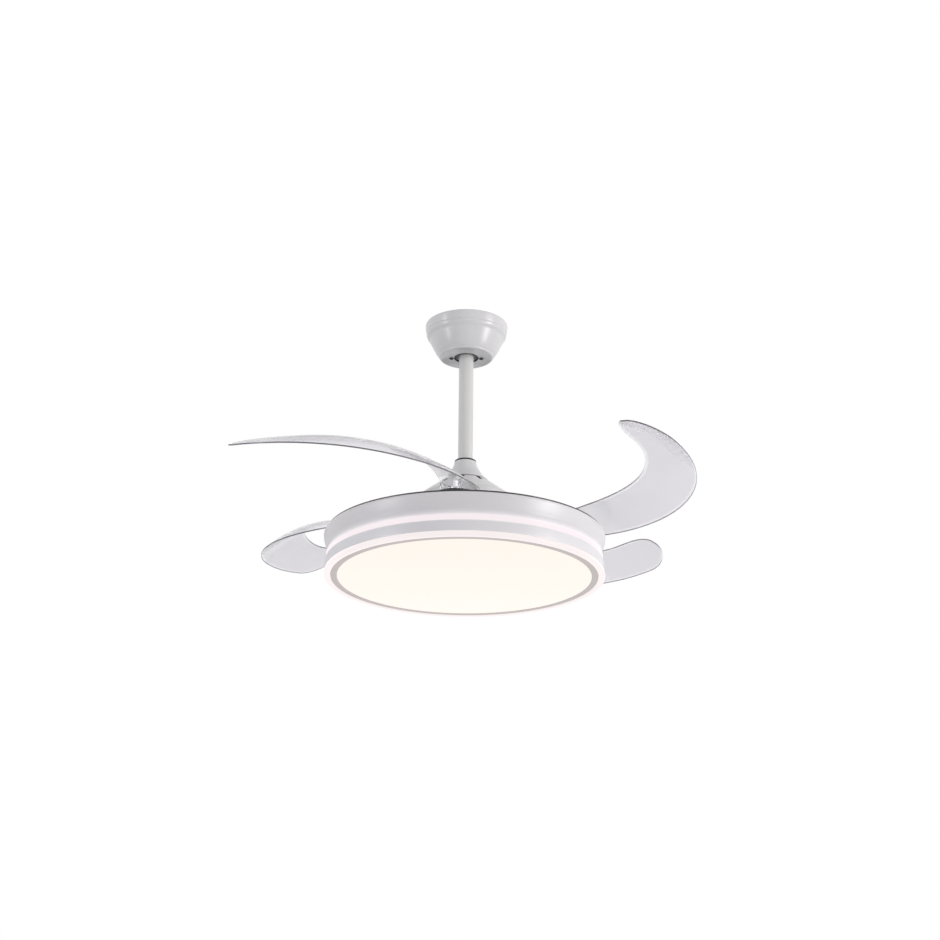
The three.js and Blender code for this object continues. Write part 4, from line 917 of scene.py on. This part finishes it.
def make_blade():
    pivot = Vector(pivot_place(1))
    disc_low, disc_high = (h - LAMP_DROP for h in DISC_HEIGHTS)
    foot, high = ROOT_FOOT - LAMP_DROP, disc_high + ROOT_BLANK_H
    root = cylinder("root", BOSS_R, foot, high, root_plastic, 48, pivot)
    parts = []
    for k in range(ROOT_RIBS):
        angle = ROOT_RIB_AZIMUTH + 360 * k / ROOT_RIBS
        rib = block("rib", (ROOT_RIB_L, ROOT_RIB_T, high - foot),
                    (DISC_R - ROOT_RIB_L / 2, 0, (high + foot) / 2))
        rib.data.materials.append(root_plastic)
        rib.data.transform(Matrix.Translation((pivot.x * MM, pivot.y * MM, 0))
                           @ Matrix.Rotation(radians(angle), 4, "Z"))
        parts.append(rib)
    for k in range(ROOT_POSTS):
        angle = 2 * pi * k / ROOT_POSTS
        place = (pivot.x + ROOT_POST_CIRCLE_R * cos(angle), pivot.y + ROOT_POST_CIRCLE_R * sin(angle))
        parts.append(cylinder("post", ROOT_POST_R, foot, high, post_plastic, 24, place))
    combined(root, parts, "UNION", own_finishes=True)
    under = blade_sheet("under", lambda z: z, lambda z: DISC_HEIGHTS[0] - ROOT_BLANK_DEPTH)
    combined(root, [under], "INTERSECT", own_finishes=True)
    sheet = blade_sheet("blade_clear_1", lambda z: z + BLADE_T / 2, lambda z: z - BLADE_T / 2)
    lip_r, lip_foot = DISC_LIP[0], DISC_LIP[1] - LAMP_DROP
    shoulder_r, shoulder_h = lip_r + DISC_SHOULDER[0], disc_low + DISC_SHOULDER[1]
    outline = [(0, disc_low), (lip_r, disc_low), (lip_r, lip_foot), (DISC_R, lip_foot), (DISC_R, disc_low),
               (shoulder_r, shoulder_h), (lip_r, disc_high), (0, disc_high)]
    disc = turned("disc", outline, disc_plastic, 96, pivot)
    combined(sheet, [root, disc], "UNION", own_finishes=True)
    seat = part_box("pivot_bolt_1")[1].z / MM - BOLT_RECESS_DEPTH
    hole = cylinder("bolt_hole", BOLT_HOLE_R, disc_low - CUT_PAST, high, root_plastic, 48, pivot)
    recess = cylinder("bolt_recess", BOLT_RECESS_R, seat, high + ROOT_BLANK_H, root_plastic, 48, pivot)
    combined(sheet, [hole, recess], "DIFFERENCE", own_finishes=True)
    return sheet


def moulded(name, tint, rough, through, ior=1.5, tone=0.005, grain=3.0, bump=0.03):
    """Clear plastic. through is the share of the light that goes into it."""
    made = finish(name, tint, rough, tone=tone, grain=grain, bump=bump)
    body = made.node_tree.nodes["Principled BSDF"]
    body.inputs["Transmission Weight"].default_value = through
    body.inputs["IOR"].default_value = ior
    return made


def clear(name, tint, through, rough, band):
    """The sheet's plastic: a faint tint, slight flow marks, and a painted highlight in bands along the edges.
    """
    made = moulded(name, tint, rough, through, ior=1.36, tone=0.015, grain=4.0, bump=0.02)
    nodes, links = made.node_tree.nodes, made.node_tree.links
    body = nodes["Principled BSDF"]
    highlight_bands = nodes.new("ShaderNodeUVMap")
    highlight_bands.uv_map = "band"
    parted = nodes.new("ShaderNodeSeparateXYZ")
    links.new(highlight_bands.outputs["UV"], parted.inputs[0])
    painted_highlight_amount = worked_out(made.node_tree, "MAXIMUM", parted.outputs[0], parted.outputs[1])
    edge = nodes.new("ShaderNodeMapRange")
    edge.inputs["From Min"].default_value = 0.05
    edge.inputs["From Max"].default_value = 0.3
    links.new(painted_highlight_amount, edge.inputs["Value"])
    mix = nodes.new("ShaderNodeMixRGB")
    mix.inputs["Color2"].default_value = band + (1,)
    links.new(edge.outputs["Result"], mix.inputs["Fac"])
    links.new(body.inputs["Base Color"].links[0].from_socket, mix.inputs["Color1"])
    links.new(mix.outputs["Color"], body.inputs["Base Color"])
    return made


# Painted highlight: the sheet's plastic turns lighter along its edges and at its root.
clear_plastic = clear("smoked_clear_plastic", (0.79, 0.775, 0.81), 0.84, 0.08, (0.92, 0.91, 0.94))
# Painted shade: the plastic of the cut edges is tinted dark, for how the edge of clear plastic looks dark.
cut_edge_painted_dark = clear("cut_plastic_edge", (0.20, 0.19, 0.22), 0.35, 0.2, (0.20, 0.19, 0.22))
inner_edge_painted_dark = clear("inner_plastic_edge", (0.48, 0.47, 0.50), 0.5, 0.15, (0.48, 0.47, 0.50))
disc_plastic = moulded("disc_clear_plastic", (0.78, 0.78, 0.80), 0.2, 0.3, tone=0.01)
post_plastic = moulded("post_clear_plastic", (0.93, 0.93, 0.94), 0.12, 0.25)
root_plastic = moulded("root_clear_plastic", (0.96, 0.96, 0.98), 0.06, 0.93, ior=1.2, bump=0.05)
first_blade = make_blade()
for number in BLADE_NUMBERS:
    blade = first_blade
    if number > 1:
        turned_copy = first_blade.data.copy()
        turned_copy.transform(Matrix.Rotation(pi / 2 * (number - 1), 4, "Z"))
        blade = add_piece(f"blade_clear_{number}", turned_copy)
    blade.visible_shadow = False
    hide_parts(f"blade_{number}")
    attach(blade, f"arm_{number}")

# ---- Pivot bolts --------------------------------------------------------------
# A shouldered steel bolt with a hexagon socket holds each blade on its sleeve. Its washer is
# under the gear.
SOCKET_ACROSS = 8.0
SOCKET_DEPTH = 2.6
BOLT_R = 6
BOLT_HEAD_R = 10
BOLT_HEAD_H = 4
BOLT_EDGE_R = 0.5
WASHER_H = 1.5


def flat_ends(outline):
    """The outline with its rounded ends at the axis made flat again."""
    return [(0 if r < 1 else r, z) for r, z in outline]


def make_bolt(number):
    node = f"pivot_bolt_{number}"
    foot, top = span(node)[1:]
    place = pivot_place(number)
    washer, head = foot + WASHER_H, top - BOLT_HEAD_H
    outline = eased([(0, foot), (BOLT_HEAD_R, foot), (BOLT_HEAD_R, washer), (BOLT_R, washer), (BOLT_R, head),
                     (BOLT_HEAD_R, head), (BOLT_HEAD_R, top), (0, top)], BOLT_EDGE_R)
    bolt = turned(f"pivot_bolt_socket_{number}", flat_ends(outline), zinc, 48, place)
    socket = cylinder("socket", SOCKET_ACROSS / 2, top - SOCKET_DEPTH, top + OVERLAP, zinc, 6, place)
    combined(bolt, [socket], "DIFFERENCE")
    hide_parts(node)
    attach(bolt, f"arm_{number}")


for number in BLADE_NUMBERS:
    make_bolt(number)

# ---- Lamp's hanger plate and top plate ------------------------------------------
# A zinc-plated disc and a nut on the shaft carry the lamp. The black top plate hangs from it by
# three screws. It is pressed from sheet, with two stiffening beads and a skirt inside the drum.
TOP_PLATE_T = 1.5
TOP_PLATE_BEADS = (84, 168)
TOP_PLATE_STEPS = 200
BEAD_W = 9
BEAD_DEPTH = 1.1
BEAD_STEPS = 8
TOP_PLATE_HOLE_R = 8.8
TOP_PLATE_WALL_R = 242.2
TOP_PLATE_DROOP = 1.7
TOP_PLATE_RIM_H = 2.5
TOP_PLATE_CHAMFER = 0.3


def make_top_plate():
    radius, bottom, top = span("lamp_top_plate")
    flat = [(TOP_PLATE_HOLE_R, top)]
    for middle in TOP_PLATE_BEADS:
        for i in range(BEAD_STEPS + 1):
            across = i / BEAD_STEPS
            flat.append((middle + BEAD_W * (across - 0.5), top - BEAD_DEPTH * sin(pi * across) ** 2))
    rim_top = top - TOP_PLATE_DROOP
    rim = [(TOP_PLATE_WALL_R, top), (radius - TOP_PLATE_CHAMFER, rim_top),
           (radius, rim_top - TOP_PLATE_CHAMFER), (radius, rim_top - TOP_PLATE_RIM_H),
           (TOP_PLATE_WALL_R, rim_top - TOP_PLATE_RIM_H)]
    inner_r = TOP_PLATE_WALL_R - TOP_PLATE_T
    wall = [(TOP_PLATE_WALL_R, bottom), (inner_r, bottom)]
    under = [(r, z - TOP_PLATE_T) for r, z in flat + [(inner_r, top)]]
    plate = turned("lamp_top_pan", flat + rim + wall + under[::-1], black_paint, TOP_PLATE_STEPS)
    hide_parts("lamp_top_plate")
    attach(plate, "hanging")


make_top_plate()
dress("lamp_hanger_plate", zinc)
dress("shaft_nut", zinc)
for number in (1, 2, 3):
    dress(f"lamp_plate_screw_{number}", zinc)

# ---- Lamp drum and lower band ---------------------------------------------------
# Two spun rings in satin white paint, with the glowing ring between them. The drum's rim is rolled
# over, and its lower edge turns in to the narrow waist.
DRUM_FORM = (
    # radius and height above the lamp's lower edge
    (245.6, 38.4), (246.5, 38.6), (246.1, 42), (245.5, 46.6), (245, 49.9), (245.6, 51.8), (247.2, 55.4),
    (248.9, 59.6), (250.6, 64.8), (251.7, 69.6), (252, 73.2), (251.9, 75.1), (251.4, 76.3), (250.5, 76.7),
    (249.7, 76.2), (249.5, 74.8),
)
DRUM_INNER = ((249.5, 70), (243, 51), (242.5, 48), (242.5, 38.4))
BAND_FORM = (
    (248.6, 9.4), (249, 9.9), (249.1, 13), (249, 18), (248.7, 23), (248.2, 27.6), (247.6, 28.4),
)
BAND_INNER = ((241, 28.4), (241, 9.4))
LAMP_STEPS = 240
PAINTED_GLOW_FALL = 2.2  # how fast the painted glow fades with the distance: the power of what is left of its reach


def ring_piece(name, node, outline, material):
    """A ring of the lamp. The outline gives radius and height above the lamp's lower edge."""
    ring = turned(name, [(r, z - LAMP_DROP) for r, z in outline], material, LAMP_STEPS)
    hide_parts(node)
    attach(ring, "hanging")


def paint_glow_beside(paint, near, far, strongest):
    """Painted light: an emission on the paint stands in for the waist ring's glow falling on it. near and far
    are heights on the lamp.
    """
    nodes, links = paint.node_tree.nodes, paint.node_tree.links
    place = nodes.new("ShaderNodeTexCoord")
    parted = nodes.new("ShaderNodeSeparateXYZ")
    links.new(place.outputs["Object"], parted.inputs[0])
    reach = nodes.new("ShaderNodeMapRange")
    reach.inputs["From Min"].default_value = (far - LAMP_DROP) * MM
    reach.inputs["From Max"].default_value = (near - LAMP_DROP) * MM
    links.new(parted.outputs["Z"], reach.inputs["Value"])
    fall = worked_out(paint.node_tree, "POWER", reach.outputs["Result"], PAINTED_GLOW_FALL)
    glow = nodes.new("ShaderNodeMixRGB")
    glow.inputs["Color1"].default_value = (0, 0, 0, 1)
    glow.inputs["Color2"].default_value = strongest + (1,)
    links.new(fall, glow.inputs["Fac"])
    body = nodes["Principled BSDF"]
    links.new(glow.outputs["Color"], body.inputs["Emission Color"])
    body.inputs["Emission Strength"].default_value = 1
    body.inputs["Coat Weight"].default_value = 0.2
    body.inputs["Coat Roughness"].default_value = 0.36


drum_paint = finish("lamp_satin_paint", (0.655, 0.64, 0.66), 0.36, tone=0.012, grain=0.9, bump=0.012)
band_paint = finish("lamp_band_paint", (0.71, 0.70, 0.725), 0.4, tone=0.012, grain=0.9, bump=0.012)
# Painted light: the paint beside the waist ring glows a little, fading away from it.
paint_glow_beside(drum_paint, 38.4, 51, (0.30, 0.265, 0.275))
paint_glow_beside(band_paint, 28.4, 23, (0.10, 0.09, 0.09))
ring_piece("lamp_drum_ring", "lamp_drum", smooth(DRUM_FORM, 3) + list(DRUM_INNER), drum_paint)
ring_piece("lower_band_ring", "lower_band", smooth(BAND_FORM, 3) + list(BAND_INNER), band_paint)

# ---- Glowing rings, trim ring and diffuser --------------------------------------
# Frosted plastic, lit from inside: a ring in the waist, the ring round the lamp's lower edge, and
# the wide face. A satin grey ring holds the face; it glows a little, painted light for what it
# catches from both sides.
HALO_OUTLINE = ((241, 28.7), (247.1, 28.7), (247.5, 29.2), (247, 37.6), (246.6, 38.1), (241, 38.1))
BOTTOM_ROUND = (
    (238.6, 1.5), (240.4, 0.5), (243.6, 0.1), (247, 0.03), (249, 0.5), (250, 1.6), (249.9, 4), (249.4, 7),
    (248.6, 9.1),
)
BOTTOM_INNER = ((241, 9.1), (241, 4.2), (238.6, 4.2))
TRIM_OUTLINE = (
    (226.7, 1.4), (227.2, 1.2), (232, 1.2), (237.6, 1.2), (238.3, 1.8), (238.3, 4.2), (226.7, 4.2),
)
DIFFUSER_EDGE_R = 0.4


def glowing(name, colour, glow, strength, rough=0.4):
    """Frosted plastic with light behind it. The grey trim takes it too, and there the glow is painted light.
    """
    made = finish(name, colour, rough, tone=0.02, grain=0.5, bump=0.02)
    body = made.node_tree.nodes["Principled BSDF"]
    body.inputs["Emission Color"].default_value = glow + (1,)
    body.inputs["Emission Strength"].default_value = strength
    body.inputs["Specular IOR Level"].default_value = 0.3
    return made


halo_glow = glowing("frosted_halo", (0.11, 0.10, 0.105), (1.0, 0.91, 0.935), 0.82)
ring_glow = glowing("frosted_bottom_ring", (0.10, 0.09, 0.09), (1.0, 0.93, 0.925), 0.83)
# Painted light: the trim's faint glow stands in for light from the glowing pieces on both sides.
trim_painted_glow = glowing("grey_trim_paint", (0.52, 0.475, 0.46), (1.0, 0.93, 0.92), 0.17, 0.45)
ring_piece("halo_glow_ring", "halo_ring", HALO_OUTLINE, halo_glow)
ring_piece("bottom_glow_ring", "bottom_ring", smooth(BOTTOM_ROUND, 3) + list(BOTTOM_INNER), ring_glow)
ring_piece("trim_grey_ring", "trim_ring", TRIM_OUTLINE, trim_painted_glow)


def make_diffuser():
    radius, bottom, top = span("diffuser")
    outline = eased([(0, bottom), (radius, bottom), (radius, top), (0, top)], DIFFUSER_EDGE_R)
    face = turned("diffuser_face", flat_ends(outline), face_glow, LAMP_STEPS)
    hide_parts("diffuser")
    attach(face, "hanging")


face_glow = glowing("frosted_face", (0.09, 0.08, 0.075), (1.0, 0.915, 0.84), 0.88)
make_diffuser()

# ---- Light board and driver ------------------------------------------------------
# A white ring board with twelve light chips stands on four posts under the top plate, with the
# driver's white box beside the screws.
CHIPS = 12
CHIP_SIZE = 12
CHIP_CIRCLE_R = 133.5
CHIP_H = 1.2
BOARD_RADII = (62, 205)
BOARD_EDGE_R = 0.3
STANDOFFS = (1, 2, 3, 4)


def make_board():
    bottom, top = span("led_board")[1:]
    inner, outer = BOARD_RADII
    foot = bottom + CHIP_H
    outline = eased([(inner, foot), (outer, foot), (outer, top), (inner, top)], BOARD_EDGE_R)
    board = turned("led_board_ring", outline, board_white, 128)
    chip = block("chip", (CHIP_SIZE, CHIP_SIZE, CHIP_H), (CHIP_CIRCLE_R, 0, bottom + CHIP_H / 2))
    chips = ringed("led_chips", rounded(chip, BOARD_EDGE_R), CHIPS, 0, chip_yellow)
    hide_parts("led_board")
    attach(board, "hanging")
    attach(chips, "hanging")


board_white = finish("board_white", (0.80, 0.80, 0.78), 0.4, tone=0.03, grain=0.5)
chip_yellow = finish("chip_phosphor", (0.85, 0.62, 0.12), 0.35, tone=0.06, grain=0.4)
make_board()
dress("led_driver", case_white)
for number in STANDOFFS:
    dress(f"led_standoff_{number}", nylon)
